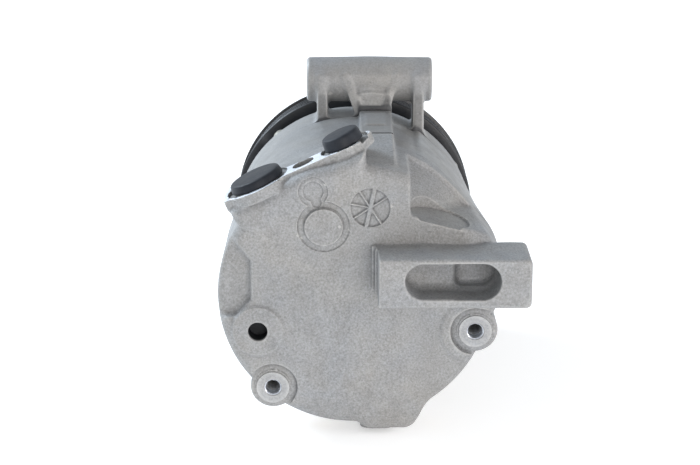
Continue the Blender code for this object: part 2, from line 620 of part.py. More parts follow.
def make_coil():
    profile = [(19.0, 129.8), (49.0, 129.8), (49.0, 131.4), (48.5, 131.4), (48.5, 148.0), (31.5, 148.0)]
    profile += [(31.5, 131.4), (19.0, 131.4)]
    finish(lathe("field_coil", profile, ROUND_STEPS, parts), black_paint)
    plug = block("coil_connector", (-8.0, 119.5, -66.0), (8.0, 131.4, -49.5), parts)
    cut(plug, block("connector_socket", (-5.5, 121.5, -68.0), (5.5, 129.4, -57.0), tools))
    finish(plug, black_plastic)


def make_clutch_front():
    finish(ring("armature_plate", 27.0, 57.0, 154.6, 158.6, DRUM_STEPS, parts), black_paint)
    lobes = [polar(34.0 + 8.0 * math.cos(3 * a), a) for a in spread(30, 0.0)]
    spring = plate("spring_plate", [(p.x, p.z) for p in lobes], 158.95, 160.15, parts)
    drill(spring, "spring_plate_hole", 12.0, (0, 157.0, 0), (0, 162.0, 0), 24)
    finish(spring, gasket_steel)
    hub = [(6.3, 152.0), (10.8, 152.0), (10.8, 160.5), (30.0, 160.5)]
    hub += [(30.0, 163.0), (14.0, 164.0), (6.3, 164.0)]
    finish(lathe("clutch_hub", hub, SMALL_STEPS, parts), ground_steel)
    nut = cylinder("hub_nut", 7.5, (0, 164.4, 0), (0, 169.5, 0), 6, parts)
    drill(nut, "nut_thread", 4.2, (0, 163.0, 0), (0, 172.0, 0), 16)
    finish(nut, zinc_steel)


def make_control_valve():
    place = along((1.0, 0.0, 0.0), (0.0, VALVE_Y, VALVE_Z))
    body = [(0.0, 10.0), (3.0, 10.0), (3.0, -19.5), (VALVE_RADIUS, -19.5), (VALVE_RADIUS, 20.0)]
    body += [(6.4, 20.0), (6.4, 24.0), (VALVE_RADIUS, 24.0), (VALVE_RADIUS, 28.0), (0.0, 28.0)]
    finish(lathe("control_valve_body", body, 16, parts, place), brass)
    start, end = (-14.0, VALVE_Y, VALVE_Z), (8.0, VALVE_Y, VALVE_Z)
    finish(cylinder("control_valve_spool", 2.6, start, end, 10, parts), ground_steel)


def make_port_caps():
    normal = port_point(0.0, 0.0, 1.0)
    for kind, t, y, bore, _, radius, height in PORTS:
        plug = bore - 0.4
        foot = FIT_GAP - CAP_SEAT_DEPTH
        profile = [(0.0, height), *arc((radius - 1.8, height - 1.8), 1.8, 90, 0, 3)]
        profile += [(radius, foot), (plug, foot), (plug, -6.0), (0.0, -6.0)]
        place = along(normal, port_point(t, y, PORT_FACE_N))
        finish(lathe(f"{kind}_port_cap", profile, 20, parts, place), black_rubber)


clear_scene()
parts = make_collection(OBJECT_NAME)
tools = make_collection(OBJECT_NAME + "_cutters", hidden=True)

cast_aluminium = make_material("cast_aluminium", (0.55, 0.55, 0.54), 0.55, 0.6)
machined_aluminium = make_material("machined_aluminium", (0.78, 0.78, 0.78), 0.3, 0.95)
ground_steel = make_material("ground_steel", (0.56, 0.57, 0.58), 0.3, 1.0)
zinc_steel = make_material("zinc_steel", (0.6, 0.58, 0.5), 0.35, 1.0)
gasket_steel = make_material("gasket_steel", (0.35, 0.36, 0.37), 0.45, 0.9)
brass = make_material("brass", (0.75, 0.55, 0.25), 0.3, 1.0)
black_rubber = make_material("black_rubber", (0.045, 0.048, 0.055), 0.6, 0.0)
black_plastic = make_material("black_plastic", (0.03, 0.03, 0.03), 0.45, 0.0)
black_paint = make_material("black_paint", (0.02, 0.02, 0.022), 0.4, 0.0)

make_rear_head()
make_middle_housing()
make_front_housing()
make_valve_stack()
make_cylinder_block()
make_seal_rings()
make_bolts()
make_pistons()
make_wobble_plate()
make_drive_plate()
make_sleeve()
make_rotor_plate()
make_shaft()
make_bearings()
make_shaft_seal()
make_guide_pin()
make_pulley()
make_coil()
make_clutch_front()
make_control_valve()
make_port_caps()
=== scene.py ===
"""Looks of the automotive air-conditioning compressor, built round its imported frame.

The cast housings are modelled as distance fields, in millimetres: each function gives the
distance from a point to a shape, negative inside it, so that shapes can be joined and cut with
a cast fillet of any radius. skin() turns a field into a mesh. Turned and stamped pieces are
lathed profiles and bevelled outlines. The shaft lies along +Y, with the rear head at y = 0.
"""

import json
import math
from collections import namedtuple
from functools import reduce
from itertools import product

import bmesh
import bpy
import numpy as np
from mathutils import Matrix, Vector


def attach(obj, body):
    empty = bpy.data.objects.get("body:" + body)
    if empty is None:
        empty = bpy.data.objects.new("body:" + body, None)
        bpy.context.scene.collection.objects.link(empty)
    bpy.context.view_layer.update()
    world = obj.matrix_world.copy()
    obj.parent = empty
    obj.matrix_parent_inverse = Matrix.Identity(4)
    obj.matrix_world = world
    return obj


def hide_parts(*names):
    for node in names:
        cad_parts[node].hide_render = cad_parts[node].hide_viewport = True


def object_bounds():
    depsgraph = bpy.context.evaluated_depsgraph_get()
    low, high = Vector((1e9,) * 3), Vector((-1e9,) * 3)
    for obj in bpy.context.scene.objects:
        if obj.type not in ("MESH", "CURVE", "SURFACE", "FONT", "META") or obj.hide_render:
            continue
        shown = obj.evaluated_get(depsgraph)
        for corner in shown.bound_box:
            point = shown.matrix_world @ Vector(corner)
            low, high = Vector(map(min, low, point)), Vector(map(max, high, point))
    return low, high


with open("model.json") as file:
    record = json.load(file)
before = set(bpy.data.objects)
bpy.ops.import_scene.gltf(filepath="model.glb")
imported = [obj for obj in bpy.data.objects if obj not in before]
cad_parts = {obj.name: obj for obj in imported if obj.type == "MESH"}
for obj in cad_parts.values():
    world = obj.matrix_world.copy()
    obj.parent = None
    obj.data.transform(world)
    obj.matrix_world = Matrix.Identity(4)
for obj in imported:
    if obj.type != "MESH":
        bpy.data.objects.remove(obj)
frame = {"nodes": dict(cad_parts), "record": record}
cad_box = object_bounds()

MM = 0.001
DIAGONAL = 0.7071

# Housings, in millimetres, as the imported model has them
HEAD_RADIUS, MIDDLE_RADIUS, FRONT_RADIUS = 59.5, 59.1, 58.8
REAR_PARTING_Y, FRONT_PARTING_Y = 48.0, 92.0
PARTING_GAP = 0.25
CAVITY_RADIUS = 48.0
CRANKCASE_RADIUS = 44.5
HEAD_SEAT_Y = 24.0
HEAD_WALL = 9.0
FACE_ROUNDING = 5.0
SHOULDER_Y = 117.0
NOSE_END_Y = 155.5
NOSE_RADIUS = 17.2
NOSE_BORE = 13.0

PORT_SLOPE = math.radians(24.4)
PORT_FACE_N = 61.5
PORT_DEPTH = 28.0
FLANGE_N = 56.5
Port = namedtuple("Port", "kind t y bore floor cap_radius cap_height lobe")
SUCTION = Port("suction", -18.0, 13.5, 8.0, 33.0, 12.0, 3.9, 15.2)
DISCHARGE = Port("discharge", 23.0, 14.6, 5.5, 8.0, 8.8, 5.5, 10.4)
PORTS = (SUCTION, DISCHARGE)
STUD_HOLE, STUD_HOLE_RADIUS = (3.7, 12.5), 5.0
CAP_SEAT_DEPTH = 0.5
VALVE_Y, VALVE_Z, VALVE_BORE = 15.5, -50.5, 7.8

LUG_LEFT, LUG_RIGHT, LUG_BOTTOM, LUG_TOP = 10.3, 74.3, 4.0, 25.5
LUG_REAR_Y, LUG_FRONT_Y = -24.0, 2.0
SLOT_LEFT, SLOT_RIGHT, SLOT_BOTTOM, SLOT_TOP = 21.2, 61.1, 8.0, 23.4
SLOT_FLOOR_Y, SLOT_DEEP_Y = -8.0, -3.6
REAR_BOSSES = ((-35.8, -41.5), (52.8, -15.1))
REAR_BOSS_RADIUS = 9.9
PLAIN_HOLE = (-42.0, -15.1)
RIDGE_LEFT, RIDGE_RIGHT, RIDGE_TOP = 2.7, 17.8, 62.0
SHELF_SLOPE = math.radians(14.0)
SHELF_HEIGHT = 42.0
SPOTFACE = (36.9, 10.3)
SPOTFACE_RADIUS = 13.6

TUBE_LEFT, TUBE_RIGHT = -22.5, 37.5
TUBE_Y, TUBE_Z = 105.0, 74.6
TUBE_RADIUS = 10.85
TUBE_BORE = 5.3

BOLT_COUNT = 7
BOLT_PITCH = 54.3
BOLT_HOLE_RADIUS = 3.45
BOLT_START_ANGLE = math.radians(79.5)

PULLEY_RADIUS = 60.4

CAST_WARM, CAST_COOL = (0.298, 0.291, 0.280), (0.262, 0.270, 0.283)


# ---------------------------------------------------------------- distance fields


def union(a, b, radius=0.0):
    """Both shapes, with a fillet of this radius where they meet."""
    if radius == 0.0:
        return np.minimum(a, b)
    lean = np.hypot(np.maximum(radius - a, 0.0), np.maximum(radius - b, 0.0))
    return np.maximum(radius, np.minimum(a, b)) - lean


def common(a, b, radius=0.0):
    """What both shapes share, with its new edges rounded to this radius."""
    if radius == 0.0:
        return np.maximum(a, b)
    lean = np.hypot(np.maximum(radius + a, 0.0), np.maximum(radius + b, 0.0))
    return np.minimum(-radius, np.maximum(a, b)) + lean


def less(a, b, radius=0.0):
    """The first shape with the second cut out of it."""
    return common(a, -b, radius)


def slab(value, low, high):
    return np.maximum(low - value, value - high)


def disc(u, v, centre, radius):
    return np.hypot(u - centre[0], v - centre[1]) - radius


def beyond(u, v, start, end):
    """Distance to the right of the line from start to end. The points may vary along y."""
    du, dv = end[0] - start[0], end[1] - start[1]
    return ((u - start[0]) * dv - (v - start[1]) * du) / np.hypot(du, dv)


def convex(u, v, points, radius):
    """A convex outline, listed anticlockwise, with rounded corners."""
    shape = beyond(u, v, points[-1], points[0])
    for start, end in zip(points, points[1:]):
        shape = common(shape, beyond(u, v, start, end), radius)
    return shape


def outline(u, v, points):
    """Exact distance to any closed outline of points."""
    nearest = np.full(np.broadcast(u, v).shape, np.inf)
    inside = np.zeros(nearest.shape, bool)
    for (au, av), (bu, bv) in zip(points, points[1:] + points[:1]):
        du, dv = bu - au, bv - av
        share = np.clip(((u - au) * du + (v - av) * dv) / (du * du + dv * dv), 0.0, 1.0)
        nearest = np.minimum(nearest, np.hypot(u - au - share * du, v - av - share * dv))
        if dv != 0.0:
            inside ^= ((av > v) != (bv > v)) & (u < au + (v - av) * du / dv)
    return np.where(inside, -nearest, nearest)


def stadium(u, v, left, right, low, high):
    """A slot outline with round ends, its long side along u."""
    radius = (high - low) / 2
    middle = (left + right) / 2
    reach = np.maximum(np.abs(u - middle) - (right - left) / 2 + radius, 0.0)
    return np.hypot(reach, v - (low + high) / 2) - radius


def bar(u, v, start, end, width):
    """A straight bar with round ends."""
    du, dv = end[0] - start[0], end[1] - start[1]
    share = np.clip(((u - start[0]) * du + (v - start[1]) * dv) / (du * du + dv * dv), 0.0, 1.0)
    return np.hypot(u - start[0] - share * du, v - start[1] - share * dv) - width / 2


def smooth(value, low, high):
    """0 below low, 1 above high, and a smooth rise between them."""
    share = np.clip((value - low) / (high - low), 0.0, 1.0)
    return share * share * (3.0 - 2.0 * share)


def raised(shape, height, edge):
    """A relief of this height inside a flat shape, with a soft edge."""
    return height * (1.0 - smooth(shape, -edge / 2, edge / 2))


def spread(count, start):
    return [start + 2 * math.pi * index / count for index in range(count)]


def polar(pitch, angle):
    return (pitch * math.cos(angle), pitch * math.sin(angle))


def port_axes(x, z):
    """The port frame: t runs along the sloping port face and n stands square to it."""
    t = x * math.cos(PORT_SLOPE) + z * math.sin(PORT_SLOPE)
    n = z * math.cos(PORT_SLOPE) - x * math.sin(PORT_SLOPE)
    return t, n


def shelf_axes(x, z):
    """The valley's shelf: across runs down its slope and height stands square to it."""
    across = x * math.cos(SHELF_SLOPE) - z * math.sin(SHELF_SLOPE)
    height = x * math.sin(SHELF_SLOPE) + z * math.cos(SHELF_SLOPE)
    return across, height


def shelf_z(x):
    """How high the shelf is at x."""
    return (SHELF_HEIGHT - x * math.sin(SHELF_SLOPE)) / math.cos(SHELF_SLOPE)


def waviness(x, y, z):
    """The slight unevenness of a sand casting."""
    broad = np.sin(x / 9.1 + 0.4) * np.sin(y / 8.3 + 1.1) * np.sin(z / 10.7 + 2.0)
    fine = np.sin(x / 3.7 + 1.9) * np.sin(y / 4.1) * np.sin(z / 3.3 + 0.7)
    return 0.10 * broad + 0.035 * fine


def bolt_holes(x, z):
    holes = np.inf
    for angle in spread(BOLT_COUNT, BOLT_START_ANGLE):
        holes = union(holes, disc(x, z, polar(BOLT_PITCH, angle), BOLT_HOLE_RADIUS))
    return holes


# ---------------------------------------------------------------- skin of a field


def ruled(low, high, step, close):
    """Grid positions from low to high, closer together inside the given spans."""
    lines = [low]
    while lines[-1] < high:
        near = any(start <= lines[-1] < end for start, end in close)
        lines.append(lines[-1] + (0.55 * step if near else step))
    return np.array(lines)


def slope_of(field, points):
    """The field's value at the points, and its slope there."""
    reach = 0.02
    x, y, z = points.T
    here = field(x, y, z)
    slopes = (field(x + reach, y, z), field(x, y + reach, z), field(x, y, z + reach))
    return here, np.stack([(value - here) / reach for value in slopes], axis=1)


def crossings(field, grid, lines, axis):
    """The grid edges along one axis that the surface crosses, where, and its normal there."""
    first = np.take(grid, range(grid.shape[axis] - 1), axis)
    second = np.take(grid, range(1, grid.shape[axis]), axis)
    edges = np.argwhere((first < 0) != (second < 0))
    start, end = first[tuple(edges.T)], second[tuple(edges.T)]
    points = np.stack([line[edges[:, index]] for index, line in enumerate(lines)], axis=1)
    ahead = lines[axis][edges[:, axis] + 1]
    points[:, axis] += (ahead - points[:, axis]) * start / (start - end)
    value, slope = slope_of(field, points)
    steep = np.maximum(np.linalg.norm(slope, axis=1), 0.2)[:, None]
    normals = slope / steep
    points -= normals * np.clip(value[:, None] / steep, -0.3, 0.3)
    return edges, points, normals, start < 0


def cell_points(order, count, hits, lines):
    """One point in each crossed cell, as near as it can be to the tangent plane of every
    crossing round the cell, so that sharp edges stay sharp."""
    sums = np.zeros((count, 13))
    for axis, (edges, points, normals, _) in enumerate(hits):
        across = (normals * points).sum(axis=1, keepdims=True)
        pairs = ((0, 0), (0, 1), (0, 2), (1, 1), (1, 2), (2, 2))
        products = [normals[:, i] * normals[:, j] for i, j in pairs]
        rows = [*products, *(normals * across).T, *points.T, np.ones(len(points))]
        sides = [index for index in range(3) if index != axis]
        for back in product((0, 1), repeat=2):
            cells = edges.copy()
            cells[:, sides] -= back
            inside = (cells >= 0).all(axis=1) & (cells < order.shape).all(axis=1)
            place = order[tuple(cells[inside].T)]
            for column, row in enumerate(rows):
                sums[:, column] += np.bincount(place, row[inside], count)
    matrix = sums[:, [0, 1, 2, 1, 3, 4, 2, 4, 5]].reshape(-1, 3, 3)
    middle = sums[:, 9:12] / sums[:, 12:]
    right = sums[:, 6:9] - np.einsum("nij,nj->ni", matrix, middle)
    points = middle + np.linalg.solve(matrix + 0.04 * np.eye(3), right[:, :, None])[:, :, 0]
    cells = np.argwhere(order >= 0)
    low = np.stack([line[cells[:, index]] for index, line in enumerate(lines)], axis=1)
    high = np.stack([line[cells[:, index] + 1] for index, line in enumerate(lines)], axis=1)
    return np.clip(points, low, high)


def cell_quads(order, hits):
    """A quad round each crossed grid edge, facing outwards."""
    quads = []
    for axis, (edges, _, _, leaving) in enumerate(hits):
        sides = [(axis + 1) % 3, (axis + 2) % 3]
        u, v = np.eye(3, dtype=int)[sides]
        limits = np.array(order.shape)[sides]
        held = ((edges[:, sides] > 0) & (edges[:, sides] < limits)).all(axis=1)
        edges, leaving = edges[held], leaving[held]
        quad = np.stack([order[tuple((edges - shift).T)] for shift in (u + v, v, 0 * u, u)], axis=1)
        quad[~leaving] = quad[~leaving][:, ::-1]
        quads.append(quad)
    return np.concatenate(quads)


def skin(name, field, low, high, step, close=((), (), ())):
    """A mesh object of the surface where the field is zero, inside the box from low to high."""
    lines = [ruled(a, b, step, spans) for a, b, spans in zip(low, high, close)]
    x, y, z = lines
    grid = field(x[:, None, None], y[None, :, None], z[None, None, :])
    inside = grid < 0
    counts = [size - 1 for size in grid.shape]
    crossed = np.zeros(counts, np.int8)
    for i, j, k in product((0, 1), repeat=3):
        crossed += inside[i : i + counts[0], j : j + counts[1], k : k + counts[2]]
    mixed = (crossed > 0) & (crossed < 8)
    order = np.full(mixed.shape, -1, np.int32)
    order[mixed] = np.arange(mixed.sum())
    hits = [crossings(field, grid, lines, axis) for axis in range(3)]
    points = cell_points(order, mixed.sum(), hits, lines)
    mesh = bpy.data.meshes.new(name)
    mesh.from_pydata((points * MM).tolist(), [], cell_quads(order, hits).tolist())
    mesh.shade_smooth()
    mesh.set_sharp_from_angle(angle=math.radians(38))
    return add_object(name, mesh)


# ---------------------------------------------------------------- housings


def flank(x, y, z):
    """The side flank, which tapers from the lug into the front housing."""
    share = y / 105.0
    reach = 61.0 + 7.0 * np.sin(math.pi * np.minimum(share * 1.2, 1.0)) - 3.5 * share
    shoulder = (61.0 - 7.5 * share, 25.5 + 0.5 * share)
    top = (40.0, 40.5 + 1.5 * share)
    shape = common(beyond(x, z, (reach, 12.0), shoulder), x - reach, 4.0)
    shape = common(shape, beyond(x, z, shoulder, top), 4.0)
    return common(shape, common(-8.0 - z, 30.0 - x), 2.0)


def ridge(x, y, z):
    """The ridge along the top of the three housings, with its low steps."""
    top = np.where(y < REAR_PARTING_Y, RIDGE_TOP - (REAR_PARTING_Y - y) * 0.107, RIDGE_TOP)
    shape = common(slab(x, RIDGE_LEFT, RIDGE_RIGHT), z - top, 1.2)
    step = slab(y, 62.0, 84.0)
    pad = common(slab(x, RIDGE_LEFT + 2.2, RIDGE_RIGHT - 2.2), step, 1.0)
    pad = common(pad, z - RIDGE_TOP - 0.7, 0.5)
    return union(shape, pad, 0.5)


def face_marks(x, z):
    """The relief cast into the rear face: pads, a keyhole mark and a spoked casting mark."""
    ring, plug = (-17.5, 48.0), (-13.1, 32.5)
    neck = bar(x, z, ring, plug, 5.4)
    surround = union(disc(x, z, ring, 6.3), union(neck - 0.6, disc(x, z, plug, 11.2)))
    keyhole = union(disc(x, z, ring, 4.3), bar(x, z, ring, (-16.1, 43.0), 4.2))
    marks = raised(surround, -0.60, 0.5) + raised(keyhole, -0.55, 0.5)
    marks = marks + raised(disc(x, z, plug, 8.4), 1.90, 0.6)
    wheel, reach = (6.9, 40.9), 8.4
    spokes = np.inf
    for index in range(7):
        across, up = polar(reach, math.radians(33.0 + 45.0 * index))
        width = 1.9 if index in (1, 5) else 0.9
        spokes = union(spokes, bar(x, z, wheel, (wheel[0] + across, wheel[1] + up), width))
    marks = marks + raised(less(disc(x, z, wheel, reach), spokes), -0.95, 0.6)
    marks = marks + raised(disc(x, z, PLAIN_HOLE, 11.5), 1.1, 1.6)
    marks = marks + raised(disc(x, z, REAR_BOSSES[1], 15.0), 0.75, 2.0)
    middle = outline(x, z, [(-38, 20), (20, 20), (24, -50), (-20, -52), (-38, -28)])
    return marks + raised(middle, 0.25, 9.0)


def port_block(x, y, z, depth):
    """The flange under the port face, with a lobe round each port, and the neck under it."""
    t, n = port_axes(x, z)
    inner = [(20.0, 30.0), (27.0, 44.0), (30.0, 53.0), (32.5, 57.5)]
    inner += [(-32.8, 57.5), (-32.8, 51.0), (-26.0, 30.0)]
    neck = common(common(convex(t, n, inner, 1.5), -depth, 5.0), y - PORT_DEPTH + 1.0, 2.0)
    rim = common(slab(t, -33.6, 31.0), slab(y, 5.0, PORT_DEPTH), 3.0)
    rim = union(rim, common(slab(t, -33.6, -20.0), slab(y, 4.5, 20.0), 1.0), 1.0)
    rim = union(rim, disc(t, y, (31.2, 16.6), 4.3), 2.0)
    for port in PORTS:
        rim = union(rim, disc(t, y, (port.t, port.y), port.lobe), 2.0)
        taper = port.lobe - 2.4 - 0.55 * (FLANGE_N + 0.5 - n)
        swell = disc(t, y, (port.t, port.y + 0.6), taper)
        neck = union(neck, common(swell, slab(n, 42.0, FLANGE_N + 0.5)), 2.0)
    top = PORT_FACE_N - 0.5 * smooth(y - 0.012 * (t - 3.0) ** 2, 17.0, 17.8)
    return common(rim, common(FLANGE_N - n, n - top), 0.8), neck


def lug(x, y, z):
    """The slotted mounting lug, with a crisp drafted left wall and soft right corners."""
    rise = (y - LUG_REAR_Y) / (LUG_FRONT_Y - LUG_REAR_Y)
    crown = 0.4 * np.sin((x - 12.0) / 7.0) - 0.5 - 0.8 * smooth(x, 30.0, 24.0)
    height = slab(z, LUG_BOTTOM, LUG_TOP + crown * rise)
    block = common(common(x - LUG_RIGHT, height, 2.4), slab(y, LUG_REAR_Y, LUG_FRONT_Y), 1.6)
    return common(block, LUG_LEFT - 0.6 * rise - x, 0.7)


def lug_strip(x, y, z):
    """The low cast strip beside the lug's left wall, with the die's step lines."""
    step = 0.5 * smooth(x, LUG_LEFT - 1.4, LUG_LEFT - 1.2)
    strip = common(slab(x, LUG_LEFT - 2.7, LUG_LEFT + 2.0), slab(z, LUG_BOTTOM + 0.6, LUG_TOP - 1.0), 0.6)
    return common(strip, slab(y, -2.4 - 8.0 * step, 6.0), 0.5)


def lug_slot(x, y, z):
    mouth = stadium(x, z, SLOT_LEFT, SLOT_RIGHT, SLOT_BOTTOM, SLOT_TOP)
    floor = SLOT_FLOOR_Y - 0.006 * np.maximum(34.0 - x, 0.0) ** 2 - 0.03 * np.maximum(16.0 - z, 0.0) ** 2
    shallow = common(mouth, y - floor, 2.6)
    deep_end = stadium(x, z, 30.0, SLOT_RIGHT - 0.8, SLOT_BOTTOM + 0.8, SLOT_TOP - 0.8)
    deep_end = common(deep_end, 43.5 + 0.12 * (y - SLOT_DEEP_Y) - x, 2.4)
    return union(shallow, common(deep_end, y - SLOT_DEEP_Y, 2.4), 2.0)


def valley(x, y, z):
    """The scoop right of the raised face."""
    height = shelf_axes(x, z)[1]
    lean = math.atan2(57.6 - 39.8, 38.0 + 1.5)
    cone = (39.8 + (y + 1.5) * math.tan(lean) - np.hypot(x, z)) * math.cos(lean)
    low_left = (24.0, shelf_z(24.0))
    wall = beyond(x, z, (low_left[0] - 0.6, 90.0), low_left)
    scoop = common(cone, SHELF_HEIGHT - height, 1.8)
    scoop = common(scoop, wall, 1.6)
    return common(scoop, y - 38.0, 1.0)


def spotface(x, y, z):
    across, height = shelf_axes(x, z)
    middle = shelf_axes(SPOTFACE[0], shelf_z(SPOTFACE[0]))[0]
    round_cut = disc(across, y, (middle, SPOTFACE[1]), SPOTFACE_RADIUS)
    return common(round_cut, SHELF_HEIGHT - 0.95 - height, 0.5)


def rear_boss(body, x, y, z, centre):
    """The body with a round boss: a low ring round a machined seat, with a screw hole."""
    away = disc(x, z, centre, 0.0)
    body = less(body, common(away - REAR_BOSS_RADIUS - 0.9, y - 1.2, 0.5), 0.5)
    ring = common(away - REAR_BOSS_RADIUS, slab(y, 0.7, 30.0), 1.2)
    ring = union(ring, common(away - 8.1, slab(y, 0.15, 20.0), 0.3))
    seat = common(away - 7.2, slab(y, -0.6, 20.0), 0.2)
    body = union(body, union(ring, seat), 0.3)
    chamfer = common((away + y - 3.5) * DIAGONAL, -2.0 - y)
    hole = common(union(away - 3.3, chamfer), y - 4.5)
    return less(body, union(hole, common(away - 2.85, y - 22.0)))


def head_inside(x, y, z):
    """The two gas chambers, the control valve's bore and the ports, as one space."""
    t, n = port_axes(x, z)
    radius = np.hypot(x, z)
    reach = slab(y, HEAD_WALL, HEAD_SEAT_Y + 1.0)
    inside = common(radius - 26.0, reach, 1.5)
    inside = union(inside, common(slab(radius, 29.0, 40.5), reach, 1.5))
    wall = common(disc(t, y, (DISCHARGE.t, DISCHARGE.y + 1.0), 8.5), slab(n, 10.0, 50.0))
    inside = less(inside, wall)
    inside = union(inside, common(radius - CAVITY_RADIUS, HEAD_SEAT_Y - y))
    for port in PORTS:
        bore = disc(t, y, (port.t, port.y), port.bore)
        mouth = (bore - 0.6 + PORT_FACE_N - n) * DIAGONAL
        inside = union(inside, common(union(bore, mouth), port.floor - n))
    valve = common(disc(y, z, (VALVE_Y, VALVE_Z), VALVE_BORE), slab(x, -20.0, 32.5))
    return union(inside, valve)


def rear_head(x, y, z):
    t, n = port_axes(x, z)
    radius = np.hypot(x, z)
    depth = y + face_marks(x, z) * (1.0 - smooth(y, 1.5, 4.0))
    body = common(radius - HEAD_RADIUS, -depth, FACE_ROUNDING)
    body = union(body, common(flank(x, y, z), 1.5 - y, 3.0), 3.0)
    body = union(body, common(ridge(x, y, z), 6.0 - y, 4.0), 1.8)
    bump = convex(x, z, [(-3.0, -50.0), (4.5, -62.4), (25.0, -62.4), (30.5, -55.0), (33.0, -45.0)], 2.5)
    body = union(body, common(bump, slab(y, 0.9, 40.0), 3.0), 2.5)
    flange, neck = port_block(x, y, z, depth)
    body = union(body, neck, 1.0)
    body = union(body, flange, 1.2)
    shelf = [(-75.0, 33.0), (-75.0, -12.0), (-51.5, -8.0), (-45.2, -0.7), (-44.8, 16.7), (-52.4, 26.6)]
    body = less(body, common(outline(x, z, shelf), y - 4.0, 2.5), 1.8)
    body = less(body, valley(x, y, z), 1.3)
    body = union(body, lug(x, y, z), 1.1)
    body = union(body, lug_strip(x, y, z), 0.5)
    body = body + waviness(x, y, z)
    body = less(body, spotface(x, y, z), 0.3)
    body = less(body, lug_slot(x, y, z), 0.9)
    for centre in REAR_BOSSES:
        body = rear_boss(body, x, y, z, centre)
    body = common(body, n - PORT_FACE_N, 0.3)
    body = less(body, common(disc(x, z, PLAIN_HOLE, 4.25), y - 7.0), 0.4)
    body = less(body, common(disc(t, y, STUD_HOLE, STUD_HOLE_RADIUS), 44.0 - n), 0.3)
    for port in PORTS:
        away = disc(t, y, (port.t, port.y), port.cap_radius)
        pocket = common(away - 2.2, 0.75 * port.cap_radius - np.abs(t - port.t), 0.8)
        body = less(body, common(pocket, PORT_FACE_N - 1.6 - n, 0.4), 0.2)
        body = less(body, common(away - 0.6, PORT_FACE_N - CAP_SEAT_DEPTH - n))
    body = common(body, y - REAR_PARTING_Y + PARTING_GAP, 0.8)
    body = less(body, head_inside(x, y, z))
    return less(body, common(bolt_holes(x, z), 40.0 - y))


def middle_housing(x, y, z):
    radius = np.hypot(x, z)
    body = union(radius - MIDDLE_RADIUS, flank(x, y, z), 3.0)
    body = union(body, ridge(x, y, z), 1.8) + waviness(x, y, z)
    reach = slab(y, REAR_PARTING_Y + PARTING_GAP, FRONT_PARTING_Y - PARTING_GAP)
    body = common(body, reach, 0.8)
    body = less(body, radius - CAVITY_RADIUS)
    end = np.minimum(y - REAR_PARTING_Y, FRONT_PARTING_Y - y)
    body = less(body, common(slab(radius, CAVITY_RADIUS - 1.0, 50.2), end - 1.9))
    return less(body, bolt_holes(x, z))


def top_mount(x, y, z):
    """The mounting tube across the top, its two legs and the V-shaped web under its middle."""
    draft = 0.012 * np.abs(x - 5.0)
    tube = disc(y, z, (TUBE_Y, TUBE_Z), TUBE_RADIUS) + draft
    tube = common(tube, slab(x, TUBE_LEFT, TUBE_RIGHT), 1.6)
    legs = np.inf
    for left, right in ((-17.6, -12.5), (28.2, 33.5)):
        lean = 93.0 + 2.2 * smooth(z, 68.0, 80.0)
        leg = common(slab(x, left, right), slab(y, lean, 113.0), 1.2)
        legs = union(legs, common(leg, slab(z, 42.0, 79.0), 1.5))
    arms = bar(x, z, (-3.9, 77.6), (2.4, 61.0), 4.0)
    arms = union(arms, bar(x, z, (20.6, 77.6), (14.9, 62.0), 3.5))
    arms = common(arms, slab(y, 93.2 + 1.9 * smooth(z, 66.0, 79.0), 111.0), 0.9)
    web = convex(x, z, [(4.4, 66.0), (12.6, 66.0), (19.4, 79.0), (-2.4, 79.0)], 0.8)
    web = common(web, slab(y, 95.4, 112.0), 0.8)
    wall = common(slab(x, 2.2, 17.2), z - 70.6 + 0.10 * np.abs(x - 8.5), 1.2)
    wall = common(wall, slab(y, 93.4, 111.0), 0.8)
    body = union(tube, legs, 2.0)
    body = union(body, web, 1.2)
    body = union(body, wall, 2.2)
    return union(body, arms, 1.6)


def front_housing(x, y, z):
    radius = np.hypot(x, z)
    drum = common(radius - FRONT_RADIUS, y - SHOULDER_Y, 3.0)
    cone = (radius - 48.8 + 0.87 * (y - 124.0)) / math.hypot(1.0, 0.87)
    neck = common(common(radius - 48.8, cone, 1.0), y - 129.5, 1.0)
    body = union(drum, neck, 1.5)
    body = union(body, common(flank(x, y, z), y - 104.0, 5.0), 3.0)
    pad = common(slab(x, RIDGE_LEFT + 0.9, RIDGE_RIGHT - 0.4), y - 111.0, 1.5)
    body = union(body, common(pad, z - 63.2, 1.0), 1.8)
    body = union(body, common(top_mount(x, y, z), 50.0 - radius), 2.5)
    body = body + waviness(x, y, z)
    for angle in spread(BOLT_COUNT, BOLT_START_ANGLE):
        seat = common(disc(x, z, polar(BOLT_PITCH, angle), 5.6), SHOULDER_Y - y)
        body = less(body, seat, 0.3)
    body = union(body, common(radius - NOSE_RADIUS, y - NOSE_END_Y, 0.7), 1.5)
    body = less(body, common(16.2 - radius, slab(y, 152.9, 154.5)))
    bore = disc(y, z, (TUBE_Y, TUBE_Z), TUBE_BORE)
    mouth = (bore - 0.9 + np.minimum(x - TUBE_LEFT, TUBE_RIGHT - x)) * DIAGONAL
    body = less(body, union(bore, mouth))
    lean = (radius - CRANKCASE_RADIUS + 1.25 * (y - 116.0)) / math.hypot(1.0, 1.25)
    crankcase = common(common(radius - CRANKCASE_RADIUS, lean, 2.0), y - 122.0, 1.0)
    body = less(body, union(crankcase, radius - NOSE_BORE))
    body = common(body, FRONT_PARTING_Y + PARTING_GAP - y, 0.8)
    return less(body, bolt_holes(x, z))


# ---------------------------------------------------------------- turned and stamped pieces


def add_object(name, data):
    item = bpy.data.objects.new(name, data)
    bpy.context.scene.collection.objects.link(item)
    return item


def evaluated(item):
    """A new mesh of the object as its modifiers or its curve make it."""
    graph = bpy.context.evaluated_depsgraph_get()
    return bpy.data.meshes.new_from_object(item.evaluated_get(graph))


